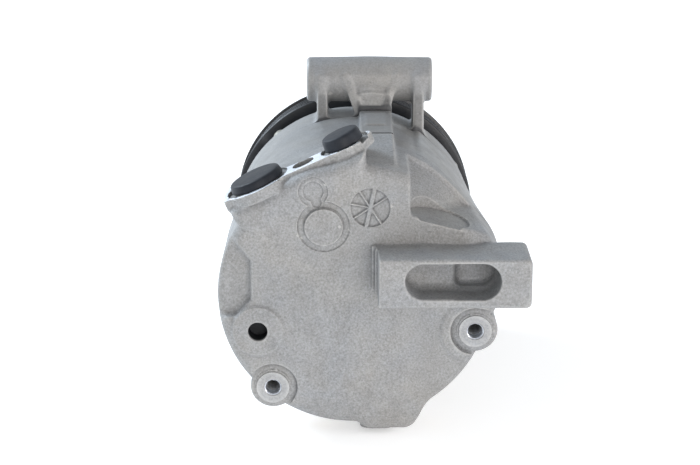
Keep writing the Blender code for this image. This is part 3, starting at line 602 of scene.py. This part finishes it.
def soften(points, radius, closed):
    """A profile with its corners rounded in three steps. The two ends of an open one stay."""
    points = [np.array(point, float) for point in points]
    rounded = []
    for index, corner in enumerate(points):
        if not closed and index in (0, len(points) - 1):
            rounded.append(corner)
            continue
        back, ahead = points[index - 1] - corner, points[(index + 1) % len(points)] - corner
        lengths = np.linalg.norm(back), np.linalg.norm(ahead)
        cut = min(radius, 0.45 * min(lengths))
        start, end = corner + back / lengths[0] * cut, corner + ahead / lengths[1] * cut
        for share in (0.0, 1 / 3, 2 / 3, 1.0):
            rest = 1 - share
            rounded.append(rest**2 * start + 2 * share * rest * corner + share**2 * end)
    return rounded


def welded(name, mesh, distance, placement, shades):
    """An object of the mesh, welded, facing outwards, put in place and shaded smooth."""
    bm = bmesh.new()
    bm.from_mesh(mesh)
    bmesh.ops.remove_doubles(bm, verts=bm.verts, dist=distance)
    bmesh.ops.recalc_face_normals(bm, faces=bm.faces)
    bm.to_mesh(mesh)
    bm.free()
    mesh.transform(placement)
    mesh.shade_smooth()
    mesh.set_sharp_from_angle(angle=math.radians(shades))
    return add_object(name, mesh)


def turned(name, profile, steps=96, radius=0.4, placement=Matrix(), shades=30):
    """A turned solid round the Y axis. profile lists (radius, height) round its section, and
    starts and ends on the axis where it has no bore."""
    closed = profile[0][0] != 0.0
    points = soften(profile, radius, closed)
    count = len(points)
    vertices = []
    for angle in spread(steps, 0.0):
        vertices += [(r * math.cos(angle), y, r * math.sin(angle)) for r, y in points]
    quads = []
    for step, index in product(range(steps), range(count if closed else count - 1)):
        here, following = step * count, (step + 1) % steps * count
        after = (index + 1) % count
        quads.append((here + index, here + after, following + after, following + index))
    mesh = bpy.data.meshes.new(name)
    mesh.from_pydata([tuple(MM * value for value in point) for point in vertices], [], quads)
    return welded(name, mesh, 0.000005, placement, shades)


def placed(axis, centre):
    """A transform that takes local Y to axis and the origin to centre, in millimetres."""
    turn = Vector((0.0, 1.0, 0.0)).rotation_difference(Vector(axis)).to_matrix().to_4x4()
    return Matrix.Translation(Vector(centre) * MM) @ turn


def on_pitch(pitch, angle):
    """A transform that takes the axis out to a pitch circle, in millimetres, at an angle."""
    x, z = polar(pitch, angle)
    return Matrix.Translation((x * MM, 0.0, z * MM))


def arc(centre, radius, angles):
    return [(centre[0] + radius * math.cos(a), centre[1] + radius * math.sin(a)) for a in angles]


def circle(centre, radius, count):
    return arc(centre, radius, spread(count, 0.0))


def round_end(pitch, width, angle, turn):
    """The points of a half circle at the end of a curved slot."""
    angles = [angle + turn + math.pi * step / 8 for step in range(1, 8)]
    return arc(polar(pitch, angle), width / 2, angles)


def banana(pitch, width, start, end):
    """A curved slot round the axis, with round ends, from one angle to another."""
    angles = [start + (end - start) * step / 20 for step in range(21)]
    points = [polar(pitch + width / 2, angle) for angle in angles] + round_end(pitch, width, end, 0.0)
    points += [polar(pitch - width / 2, angle) for angle in angles[::-1]]
    return points + round_end(pitch, width, start, math.pi)


def stamped(name, outlines, low, high, bevel):
    """A plate with bevelled edges, from outlines of (x, z) points: its rim, then its holes."""
    curve = bpy.data.curves.new(name, "CURVE")
    curve.dimensions = "2D"
    curve.fill_mode = "BOTH"
    curve.bevel_depth = bevel * MM
    curve.bevel_resolution = 2
    curve.offset = -bevel * MM
    curve.extrude = ((high - low) / 2 - bevel) * MM
    for points in outlines:
        spline = curve.splines.new("POLY")
        spline.points.add(len(points) - 1)
        for point, (x, z) in zip(spline.points, points):
            point.co = (x * MM, z * MM, 0.0, 1.0)
        spline.use_cyclic_u = True
    drawing = add_object(name + "_outline", curve)
    mesh = evaluated(drawing)
    bpy.data.objects.remove(drawing, do_unlink=True)
    lift = Matrix.Translation((0.0, (low + high) / 2 * MM, 0.0)) @ Matrix.Rotation(math.pi / 2, 4, "X")
    return welded(name, mesh, 0.000002, lift, 40)


def boolean(target, tool, operation="DIFFERENCE"):
    """Cuts or joins one mesh with another for good, and removes the tool."""
    modifier = target.modifiers.new("Boolean", "BOOLEAN")
    modifier.operation = operation
    modifier.solver = "EXACT"
    modifier.object = tool
    mesh = evaluated(target)
    target.modifiers.clear()
    target.data = mesh
    mesh.set_sharp_from_angle(angle=math.radians(30))
    bpy.data.objects.remove(tool, do_unlink=True)


def merge(name, items):
    """Several solids that are fixed together, as one object."""
    bm = bmesh.new()
    for item in items:
        bm.from_mesh(item.data)
    mesh = bpy.data.meshes.new(name)
    bm.to_mesh(mesh)
    bm.free()
    for item in items:
        bpy.data.objects.remove(item, do_unlink=True)
    mesh.set_sharp_from_angle(angle=math.radians(30))
    return add_object(name, mesh)


def put(item, body, slot, material, *nodes):
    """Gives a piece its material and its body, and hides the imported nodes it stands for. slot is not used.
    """
    item.data.materials.clear()
    item.data.materials.append(material)
    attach(item, body)
    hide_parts(*nodes)


# ---------------------------------------------------------------- materials


def add_node(tree, kind, sockets=None, **settings):
    node = tree.nodes.new(kind)
    for name, value in settings.items():
        setattr(node, name, value)
    for name, value in (sockets or {}).items():
        if isinstance(value, bpy.types.NodeSocket):
            tree.links.new(value, node.inputs[name])
        else:
            node.inputs[name].default_value = value
    return node


def noise(tree, where, scale, detail, roughness, distortion=0.0):
    sockets = {"Vector": where, "Scale": scale, "Detail": detail, "Roughness": roughness}
    sockets["Distortion"] = distortion
    return add_node(tree, "ShaderNodeTexNoise", sockets).outputs["Fac"]


def ramp(tree, value, low, high, to_low=0.0, to_high=1.0):
    sockets = {"Value": value, "From Min": low, "From Max": high, "To Min": to_low, "To Max": to_high}
    return add_node(tree, "ShaderNodeMapRange", sockets, clamp=True).outputs["Result"]


def blend(tree, factor, *colours):
    """The first colour where factor is 0, and the second where it is 1."""
    given = [c if isinstance(c, bpy.types.NodeSocket) else (*c, 1.0) for c in colours]
    sockets = {0: factor, 6: given[0], 7: given[1]}
    return add_node(tree, "ShaderNodeMix", sockets, data_type="RGBA").outputs[2]


def scaled(colour, factor):
    return tuple(min(1.0, factor * channel) for channel in colour)


def axes(tree, where):
    return add_node(tree, "ShaderNodeSeparateXYZ", {"Vector": where}).outputs


def maths(tree, operation, first, second=0.0):
    return add_node(tree, "ShaderNodeMath", {0: first, 1: second}, operation=operation).outputs[0]


def highest(tree, *values):
    return reduce(lambda first, second: maths(tree, "MAXIMUM", first, second), values)


def times(tree, first, second):
    return maths(tree, "MULTIPLY", first, second)


def bump(tree, height, distance, strength, below=None):
    sockets = {"Height": height, "Distance": distance, "Strength": strength}
    if below is not None:
        sockets["Normal"] = below
    return add_node(tree, "ShaderNodeBump", sockets).outputs["Normal"]


def surface(name, metallic, specular=0.5, coat=0.0, sheen=0.0):
    """A material with its shader, its tree and object coordinates."""
    material = bpy.data.materials.new(name)
    material.use_nodes = True
    tree = material.node_tree
    shader = tree.nodes["Principled BSDF"]
    settings = {"Metallic": metallic, "Specular IOR Level": specular, "Coat Weight": coat}
    settings |= {"Coat Roughness": 0.3, "Sheen Weight": sheen}
    for socket, value in settings.items():
        shader.inputs[socket].default_value = value
    where = add_node(tree, "ShaderNodeTexCoord").outputs["Object"]
    return material, tree, shader, where


def wire(tree, shader, colour, rough, normal):
    for name, value in (("Base Color", colour), ("Roughness", rough), ("Normal", normal)):
        tree.links.new(value, shader.inputs[name])


def wear(tree):
    """The pointedness of the surface: 0.5 on flats, more on edges and less in corners."""
    return add_node(tree, "ShaderNodeNewGeometry").outputs["Pointiness"]


def seams(tree, where):
    """1 along the two parting lines, which hold dirt and shadow."""
    along = axes(tree, where)["Y"]
    shifts = [maths(tree, "SUBTRACT", along, line * MM) for line in (REAR_PARTING_Y, FRONT_PARTING_Y)]
    nearest = maths(tree, "MINIMUM", *[maths(tree, "ABSOLUTE", shift) for shift in shifts])
    return ramp(tree, nearest, 1.15 * MM, 0.7 * MM, 0.0, 0.9)


def near_point(tree, where, point, radius):
    """1 within the radius of a point, in millimetres, and 0 outside."""
    place = tuple(value * MM for value in point)
    node = add_node(tree, "ShaderNodeVectorMath", {0: where, 1: place}, operation="DISTANCE")
    return ramp(tree, node.outputs["Value"], radius * MM, (radius - 0.1) * MM)


def past(tree, where, direction, distance):
    """1 beyond a plane square to the direction, at this distance in millimetres, else 0."""
    node = add_node(tree, "ShaderNodeVectorMath", {0: where, 1: direction}, operation="DOT_PRODUCT")
    return ramp(tree, node.outputs["Value"], (distance - 0.05) * MM, distance * MM)


def head_cuts(tree, where):
    """Where the rear head is machined, and where painted shade blackens the inside of its plain hole."""
    port = past(tree, where, (-math.sin(PORT_SLOPE), 0.0, math.cos(PORT_SLOPE)), PORT_FACE_N - 0.12)
    seats = [near_point(tree, where, (x, -0.6, z), 7.3) for x, z in REAR_BOSSES]
    rear = past(tree, where, (0.0, -1.0, 0.0), 0.45)
    seat = times(tree, times(tree, highest(tree, *seats), rear), 0.12)
    holes = [near_point(tree, where, (x, 1.6, z), 4.2) for x, z in REAR_BOSSES]
    cut = highest(tree, port, seat, *holes)
    # painted shade: the second mask colours the plain hole's inside near black
    return cut, near_point(tree, where, (PLAIN_HOLE[0], 4.4, PLAIN_HOLE[1]), 5.9)


def tube_cuts(tree, where):
    """Where the front housing is machined: the two ends of the mounting tube and its bore."""
    above = past(tree, where, (0.0, 0.0, 1.0), 62.0)
    left = past(tree, where, (-1.0, 0.0, 0.0), -TUBE_LEFT - 0.1)
    right = past(tree, where, (1.0, 0.0, 0.0), TUBE_RIGHT - 0.1)
    return times(tree, highest(tree, left, right), above), None


def cast_metal(name, cuts=None, metallic=0.12, roughness=0.50, grain=1.0):
    """Sand-cast aluminium: faint warm and cool patches, fine speckle, pale edges, and painted shade
    with dirt darkening the corners. cuts says where the casting is machined bright, and where
    painted shade blackens the inside of a hole."""
    material, tree, shader, where = surface(name, metallic, 0.4)
    patches = ramp(tree, noise(tree, where, 30.0, 5.0, 0.6, 0.4), 0.35, 0.65)
    colour = blend(tree, patches, CAST_WARM, CAST_COOL)
    clouds = ramp(tree, noise(tree, where, 105.0, 5.0, 0.68), 0.35, 0.65)
    colour = blend(tree, ramp(tree, clouds, 0.0, 1.0, 0.0, 0.50), colour, scaled(CAST_WARM, 0.72))
    grit = noise(tree, where, 1100.0, 4.0, 0.75)
    light = ramp(tree, grit, 0.50, 0.72, 0.0, 0.50 * grain)
    colour = blend(tree, light, colour, scaled(CAST_COOL, 1.6))
    dark = ramp(tree, grit, 0.50, 0.28, 0.0, 0.70 * grain)
    colour = blend(tree, dark, colour, scaled(CAST_COOL, 0.45))
    edges = wear(tree)
    colour = blend(tree, ramp(tree, edges, 0.515, 0.57, 0.0, 0.45), colour, (0.56, 0.55, 0.53))
    # painted shade and dirt: where pointiness is low, in corners and creases, the colour is darkened
    colour = blend(tree, ramp(tree, edges, 0.487, 0.43, 0.0, 0.65), colour, (0.075, 0.075, 0.080))
    colour = blend(tree, seams(tree, where), colour, (0.035, 0.036, 0.040))
    rough = ramp(tree, clouds, 0.0, 1.0, roughness, roughness + 0.14)
    sand = bump(tree, noise(tree, where, 900.0, 3.0, 0.65), 0.00010 * grain, 0.7)
    pits = ramp(tree, noise(tree, where, 380.0, 2.0, 0.5), 0.28, 0.42)
    shaped = bump(tree, pits, 0.00012, 0.6, sand)
    if cuts is not None:
        mask, black = cuts(tree, where)
        stains = ramp(tree, noise(tree, where, 240.0, 4.0, 0.65), 0.35, 0.7)
        bright = blend(tree, stains, (0.84, 0.87, 0.92), (0.62, 0.65, 0.71))
        colour = blend(tree, mask, colour, bright)
        # painted shade: near black where the cuts mark the shaded inside of a hole
        if black is not None:
            colour = blend(tree, black, colour, (0.012, 0.014, 0.017))
        cast = times(tree, rough, maths(tree, "SUBTRACT", 1.0, mask))
        rough = maths(tree, "ADD", cast, times(tree, mask, 0.44))
        tree.links.new(ramp(tree, mask, 0.0, 1.0, metallic, 0.75), shader.inputs["Metallic"])
        keep = ramp(tree, mask, 0.0, 1.0, 1.0, 0.12)
        tree.links.new(keep, shaped.node.inputs["Strength"])
    wire(tree, shader, colour, rough, shaped)
    return material


def machined_metal(name, colour, roughness, axis=None, pitch=0.35):
    """Cut metal: concentric tool marks round the Y axis, or straight ones, with stains."""
    material, tree, shader, where = surface(name, 1.0)
    stains = noise(tree, where, 90.0, 5.0, 0.65)
    shade = blend(tree, ramp(tree, stains, 0.35, 0.7, 0.0, 0.5), colour, scaled(colour, 0.72))
    edges = ramp(tree, wear(tree), 0.52, 0.60, 0.0, 0.35)
    shade = blend(tree, edges, shade, scaled(colour, 1.35))
    rough = ramp(tree, stains, 0.3, 0.7, roughness, roughness + 0.16)
    parts = axes(tree, where)
    if axis is None:
        squares = [maths(tree, "POWER", maths(tree, "ABSOLUTE", parts[side]), 2.0) for side in "XZ"]
        away = maths(tree, "SQRT", maths(tree, "ADD", *squares))
    else:
        away = parts[axis]
    marks = maths(tree, "SINE", times(tree, away, 2 * math.pi / (pitch * MM)))
    rubs = times(tree, noise(tree, where, 700.0, 4.0, 0.7), 2.0)
    wire(tree, shader, shade, rough, bump(tree, maths(tree, "ADD", marks, rubs), 0.000012, 0.6))
    return material


def rubber(name):
    """Moulded rubber: charcoal, a soft sheen, fine grain and dusty edges."""
    material, tree, shader, where = surface(name, 0.0, 0.22, sheen=0.05)
    shader.inputs["Sheen Roughness"].default_value = 0.5
    dust = noise(tree, where, 160.0, 5.0, 0.7)
    colour = blend(tree, ramp(tree, dust, 0.35, 0.75), (0.009, 0.011, 0.016), (0.019, 0.023, 0.031))
    colour = blend(tree, ramp(tree, wear(tree), 0.52, 0.60, 0.0, 0.5), colour, (0.07, 0.08, 0.095))
    rough = ramp(tree, dust, 0.3, 0.7, 0.42, 0.60)
    grain = noise(tree, where, 2200.0, 2.0, 0.6)
    wire(tree, shader, colour, rough, bump(tree, grain, 0.00004, 0.5))
    return material


def satin_coat(name, colour, roughness):
    """Black coating on steel: slight orange peel, dust and rubbed edges."""
    material, tree, shader, where = surface(name, 0.0, 0.4, coat=0.25)
    dust = noise(tree, where, 140.0, 5.0, 0.65)
    shade = blend(tree, ramp(tree, dust, 0.45, 0.8), colour, scaled(colour, 1.6))
    shade = blend(tree, ramp(tree, wear(tree), 0.56, 0.66, 0.0, 0.35), shade, (0.12, 0.12, 0.125))
    rough = ramp(tree, dust, 0.3, 0.75, roughness, roughness + 0.2)
    peel = noise(tree, where, 650.0, 3.0, 0.5)
    wire(tree, shader, shade, rough, bump(tree, peel, 0.00003, 0.5))
    return material


# ---------------------------------------------------------------- pieces


def port_place(t, y):
    """A transform whose local Y is the port normal, with its origin on the port face."""
    x = t * math.cos(PORT_SLOPE) - PORT_FACE_N * math.sin(PORT_SLOPE)
    z = t * math.sin(PORT_SLOPE) + PORT_FACE_N * math.cos(PORT_SLOPE)
    return placed((-math.sin(PORT_SLOPE), 0.0, math.cos(PORT_SLOPE)), (x, y, z))


def port_cap(port):
    """A moulded cap: a nearly flat top, a rounded rim, a drafted wall and a ribbed plug."""
    radius, height = port.cap_radius, port.cap_height
    plug, foot = port.bore - 0.4, 0.3 - CAP_SEAT_DEPTH
    profile = [(0.0, height), (radius * 0.5, height - 0.05), (radius - 2.2, height - 0.15)]
    profile += [(radius - 0.8, height - 0.45), (radius - 0.35, height - 1.6), (radius, 0.6), (radius, foot)]
    profile += [(plug - 0.5, foot), (plug - 0.5, -1.6), (plug, -2.2), (plug - 0.5, -2.8)]
    profile += [(plug - 0.5, -3.6), (plug, -4.2), (plug - 0.5, -4.8), (plug - 1.2, -6.0), (0.0, -6.0)]
    return turned(f"{port.kind}_rubber_cap", profile, 96, 0.9, port_place(port.t, port.y), 60)


def socket_bolt(name, angle):
    """A long screw with a round head and a hexagon socket."""
    head_y = SHOULDER_Y + 0.3
    top = head_y + 5.0
    profile = [(0.0, top), (3.8, top), (4.4, top - 0.6), (4.4, head_y + 0.4), (4.2, head_y), (3.0, head_y)]
    profile += [(3.0, 58.0), (2.75, 57.4)]
    for turn in range(16):
        profile += [(2.75, 57.0 - turn), (3.0, 56.5 - turn)]
    profile += [(2.3, 40.3), (0.0, 40.3)]
    bolt = turned(name, profile, 32, 0.25)
    hexagon = [polar(2.9, a) for a in spread(6, 0.3)]
    boolean(bolt, stamped(name + "_socket", [hexagon], top - 2.6, top + 1.0, 0.0))
    bolt.data.transform(on_pitch(BOLT_PITCH, angle))
    return bolt


def hexagon_nut():
    outlines = [[polar(7.5, a) for a in spread(6, 0.1)], circle((0, 0), 4.15, 40)]
    blank = stamped("hub_hexagon_nut", outlines, 164.4, 169.5, 0.0)
    profile = [(0.0, 163.0), (7.5, 163.0), (7.55, 168.7), (5.5, 169.9), (0.0, 169.9)]
    boolean(blank, turned("nut_chamfer", profile, 64, 0.0), "INTERSECT")
    return blank


def threaded_shaft():
    profile = [(0.0, 170.0), (0.6, 170.3), (1.3, 171.0), (3.2, 171.0)]
    profile += [(3.9, 170.3 - 0.1 * step) for step in range(60)]
    profile += [(3.6, 164.2), (3.6, 164.0), (5.7, 164.0), (6.0, 163.7), (6.0, 150.2), (7.7, 149.4)]
    profile += [(8.0, 149.0), (8.0, 61.4), (7.7, 61.0), (5.0, 61.0), (5.0, 58.0), (4.6, 57.6), (0.0, 57.6)]
    shaft = turned("splined_drive_shaft", profile, 72, 0.02)
    for vertex in shaft.data.vertices:
        x, y, z = vertex.co / MM
        away = math.hypot(x, z)
        if 3.85 < away < 3.95 and 164.3 < y < 170.35:
            phase = (y / 1.0 + math.atan2(z, x) / (2 * math.pi)) % 1.0
            scale = 1.0 - 0.5 * abs(2 * phase - 1) / away
            vertex.co.x *= scale
            vertex.co.z *= scale
    return shaft


def pulley_profile():
    """The wheel's section, with five grooves, from its bore out to the rim and back."""
    rear, front, rim = 134.0, 154.0, PULLEY_RADIUS
    rib_start, pitch, crest, root = 135.8, 3.3, rim - 1.2, rim - 4.0
    profile = [(26.0, 133.0), (29.3, 133.0), (29.3, 149.0), (51.0, 149.0), (51.0, rear)]
    profile += [(rim - 0.6, rear), (rim, rear + 0.6), (rim, rib_start - 0.5), (root, rib_start)]
    for index in range(5):
        middle, end = rib_start + pitch * (index + 0.5), rib_start + pitch * (index + 1)
        profile += [(crest, middle - 0.45), (crest, middle + 0.45), (root, end)]
    profile += [(rim, rib_start + pitch * 5 + 0.5), (rim, front - 0.6), (rim - 0.6, front)]
    profile += [(58.2, front), (57.8, front - 0.5), (30.5, front - 0.5), (30.0, front), (26.0, front)]
    return profile


def control_valve():
    """The control valve's cartridge, with sealing grooves and a stepped outer end."""
    profile = [(0.0, 10.0), (3.0, 10.0), (3.0, -19.5), (7.1, -19.5), (7.5, -19.1)]
    for groove in (-12.0, -2.0, 8.0, 18.0):
        profile += [(7.5, groove), (6.4, groove), (6.4, groove + 1.9), (7.5, groove + 1.9)]
    profile += [(7.5, 27.3), (6.9, 27.9), (5.6, 27.9), (5.3, 27.3), (3.6, 27.3), (3.3, 27.9)]
    profile += [(2.0, 27.9), (1.7, 27.5), (1.7, 24.0), (0.0, 23.6)]
    place = placed((1.0, 0.0, 0.0), (0.0, VALVE_Y, VALVE_Z))
    return turned("control_valve_cartridge", profile, 64, 0.15, place)


def connector(x, y, z):
    """The coil's plug-in socket, with its latch, its ribs and two blades."""
    shell = common(common(slab(x, -8.0, 8.0), slab(y, 119.5, 131.4), 1.2), slab(z, -65.0, -49.5), 0.6)
    collar = common(common(slab(x, -7.4, 7.4), slab(y, 120.1, 131.0), 1.6), slab(z, -66.0, -55.0), 0.5)
    ribs = common(slab(np.abs(x), 2.2, 3.4), common(slab(y, 119.5, 121.0), slab(z, -65.5, -54.0), 0.3), 0.3)
    latch = common(slab(x, -1.8, 1.8), common(slab(y, 119.5, 120.6), slab(z, -64.0, -61.5), 0.3), 0.3)
    waist = common(slab(z, -56.5, -55.0), 1.0 - common(slab(x, -7.2, 7.2), slab(y, 120.3, 131.0), 1.0), 0.2)
    body = union(union(less(shell, waist, 0.3), collar), union(ribs, latch))
    hole = common(common(slab(x, -5.5, 5.5), slab(y, 121.5, 129.4), 1.5), z + 57.0, 0.3)
    blades = common(slab(np.abs(x), 1.7, 2.3), common(slab(y, 123.6, 127.4), slab(z, -63.5, -50.0), 0.3), 0.2)
    return union(less(body, hole, 0.3), blades)


def face(item, target):
    """Turns a camera or a light towards a point."""
    item.rotation_euler = (Vector(target) - item.location).to_track_quat("-Z", "Y").to_euler()


def fine(step):
    """The grid of a skin, returned as it is given."""
    return step


camera_data = bpy.data.cameras.new("camera")
camera_data.lens = 81.3
camera_data.sensor_width = 36.0
camera = add_object("camera", camera_data)
target = Vector((-1.8, 0.0, 30.0)) * MM
tilt = math.radians(17.5)
camera.location = target + 0.676 * Vector((0.0, -math.cos(tilt), math.sin(tilt)))
face(camera, target)
bpy.context.scene.camera = camera

casting = cast_metal("cast_aluminium", None, 0.40, 0.38, 0.55)
head_casting = cast_metal("cast_and_cut_head", head_cuts)
front_casting = cast_metal("cast_and_cut_front", tube_cuts, 0.2, 0.46, 0.55)
turned_steel = machined_metal("turned_steel", (0.42, 0.42, 0.43), 0.28)
ground_steel = machined_metal("ground_steel", (0.50, 0.51, 0.52), 0.26, "Y", 0.22)
spring_steel = machined_metal("spring_steel", (0.24, 0.245, 0.25), 0.36, None, 0.5)
zinc_steel = machined_metal("zinc_plate", (0.36, 0.35, 0.31), 0.36, None, 0.4)
cut_aluminium = machined_metal("cut_aluminium", (0.72, 0.72, 0.71), 0.27, None, 0.3)
turned_brass = machined_metal("turned_brass", (0.70, 0.49, 0.22), 0.27, "X", 0.3)
cap_rubber = rubber("cap_rubber")
seal_rubber = rubber("seal_rubber")
pulley_paint = satin_coat("pulley_paint", (0.007, 0.008, 0.011), 0.30)
coil_paint = satin_coat("coil_paint", (0.020, 0.020, 0.022), 0.4)
connector_plastic = satin_coat("connector_plastic", (0.014, 0.014, 0.015), 0.42)

close = (((-26.0, 17.0),), ((-25.0, -22.0), (-1.9, 2.3)), ((20.0, 56.0),))
head = skin("rear_head_casting", rear_head, (-66, -25, -64.5), (76, 49, 74), fine(0.85), close)
put(head, "housing", "cast_aluminium", head_casting, "rear_head")
middle = skin("middle_housing_casting", middle_housing, (-60.5, 47.5, -60.5), (71, 92.5, 64), fine(0.9))
put(middle, "housing", "cast_aluminium", casting, "middle_housing")
front = skin("front_housing_casting", front_housing, (-60.5, 91.5, -60.5), (71, 156.5, 87), fine(0.8))
put(front, "housing", "cast_aluminium", front_casting, "front_housing")

for port in PORTS:
    put(port_cap(port), f"{port.kind}_cap", "black_rubber", cap_rubber, f"{port.kind}_port_cap")

wheel = turned("grooved_belt_pulley", pulley_profile(), 144, 0.3)
put(wheel, "pulley", "black_paint", pulley_paint, "belt_pulley")

outlines = [circle((0, 0), 57.0, 144), circle((0, 0), 27.0, 96)]
outlines += [banana(45.0, 4.0, a + 0.25, a + 1.65) for a in spread(3, 0.1)]
armature = stamped("slotted_armature", outlines, 154.6, 158.6, 0.35)
put(armature, "armature", "black_paint", pulley_paint, "armature_plate")

outlines = [[polar(34.0 + 8.0 * math.cos(3 * a), a) for a in spread(120, 0.0)], circle((0, 0), 12.0, 64)]
outlines += [circle(polar(22.0, a), 2.2, 24) for a in spread(3, math.pi / 3)]
spring = stamped("three_lobe_spring", outlines, 158.95, 160.15, 0.2)
profile = [(0.0, 161.6), (2.4, 161.4), (3.3, 160.6), (3.4, 160.1), (0.0, 160.1)]
rivets = [turned("spring_rivet", profile, 32, 0.3, on_pitch(37.6, a)) for a in spread(3, 0.0)]
spring = merge("three_lobe_spring_plate", [spring, *rivets])
put(spring, "shaft", "gasket_steel", spring_steel, "spring_plate")

profile = [(6.3, 152.0), (10.8, 152.0), (10.8, 160.5), (30.0, 160.5), (30.0, 162.6), (26.5, 163.0)]
profile += [(18.0, 163.0), (16.0, 164.0), (6.9, 164.0), (6.3, 163.4)]
hub = turned("splined_clutch_hub", profile, 96, 0.35)
profile = [(0.0, 150.0), (2.6, 150.0), (2.6, 170.0), (0.0, 170.0)]
for a in spread(3, math.pi / 3):
    boolean(hub, turned("hub_drill", profile, 32, 0.0, on_pitch(22.5, a)))
put(hub, "shaft", "ground_steel", turned_steel, "clutch_hub")
put(hexagon_nut(), "shaft", "zinc_steel", zinc_steel, "hub_nut")
put(threaded_shaft(), "shaft", "ground_steel", ground_steel, "drive_shaft")

profile = [(19.0, 129.8), (49.0, 129.8), (49.0, 131.4), (48.5, 131.6), (48.5, 147.6), (48.1, 148.0)]
profile += [(47.0, 148.0), (46.6, 147.5), (33.4, 147.5), (33.0, 148.0), (31.9, 148.0), (31.5, 147.6)]
profile += [(31.5, 131.4), (19.0, 131.4)]
coil = turned("clutch_field_coil", profile, 96, 0.3)
put(coil, "housing", "black_paint", coil_paint, "field_coil")
plug = skin("coil_connector_socket", connector, (-9, 118.5, -67), (9, 132.5, -48.5), 0.35)
put(plug, "housing", "black_plastic", connector_plastic, "coil_connector")

put(control_valve(), "housing", "brass", turned_brass, "control_valve_body")

for index, angle in enumerate(spread(BOLT_COUNT, BOLT_START_ANGLE)):
    bolt = socket_bolt(f"socket_screw_{index + 1}", angle)
    put(bolt, "housing", "zinc_steel", zinc_steel, f"through_bolt_{index + 1}")

finishes = {
    "cast_aluminium": casting,
    "machined_aluminium": cut_aluminium,
    "ground_steel": ground_steel,
    "zinc_steel": zinc_steel,
    "gasket_steel": spring_steel,
    "brass": turned_brass,
    "black_rubber": seal_rubber,
    "black_plastic": connector_plastic,
    "black_paint": coil_paint,
}
for part in frame["record"]["subparts"]:
    node = frame["nodes"][part["node"]]
    if not node.hide_render:
        for index in range(len(node.material_slots)):
            node.material_slots[index].link = "OBJECT"
            node.material_slots[index].material = finishes[part["material_slot"]]

# ---------------------------------------------------------------- studio

floor_mesh = bpy.data.meshes.new("floor")
lowest = cad_box[0][2] - 0.0002
corners = [(-4.0, -4.0, lowest), (4.0, -4.0, lowest), (4.0, 4.0, lowest), (-4.0, 4.0, lowest)]
floor_mesh.from_pydata(corners, [], [(0, 1, 2, 3)])
floor = add_object("floor", floor_mesh)
floor_material, _, floor_shader, _ = surface("floor", 0.0, 0.1)
floor_shader.inputs["Base Color"].default_value = (0.90, 0.90, 0.90, 1.0)
floor_shader.inputs["Emission Color"].default_value = (1.0, 1.0, 1.0, 1.0)
floor_shader.inputs["Emission Strength"].default_value = 0.42
floor_shader.inputs["Roughness"].default_value = 0.9
floor.data.materials.append(floor_material)

world = bpy.data.worlds.new("studio")
world.use_nodes = True
sky = world.node_tree
facing = add_node(sky, "ShaderNodeTexCoord").outputs["Generated"]
height = axes(sky, facing)["Z"]
lean = add_node(sky, "ShaderNodeVectorMath", {0: facing, 1: (0.55, -0.75, -0.35)}, operation="DOT_PRODUCT")
tint = blend(sky, ramp(sky, lean.outputs["Value"], -0.5, 0.7), (0.86, 0.93, 1.0), (1.0, 0.965, 0.925))
sky.links.new(tint, sky.nodes["Background"].inputs["Color"])
sky.links.new(ramp(sky, height, 0.05, 0.85, 0.98, 0.46), sky.nodes["Background"].inputs["Strength"])
bpy.context.scene.world = world
bpy.context.scene.view_settings.view_transform = "Standard"


def softbox(name, place, aim, size, energy, colour):
    data = bpy.data.lights.new(name, "AREA")
    data.shape = "DISK"
    data.size = size
    data.energy = energy
    data.color = colour
    light = add_object(name, data)
    light.location = place
    face(light, aim)


softbox("left_softbox", (-1.0, 0.5, 0.8), (0.0, 0.05, 0.0), 0.8, 20.0, (0.80, 0.90, 1.0))
softbox("front_softbox", (0.30, -1.30, 0.22), (0.0, 0.0, 0.0), 0.7, 7.5, (1.0, 0.965, 0.93))
softbox("right_softbox", (1.25, -0.35, 0.30), (0.0, 0.04, 0.0), 0.6, 6.0, (1.0, 0.985, 1.0))
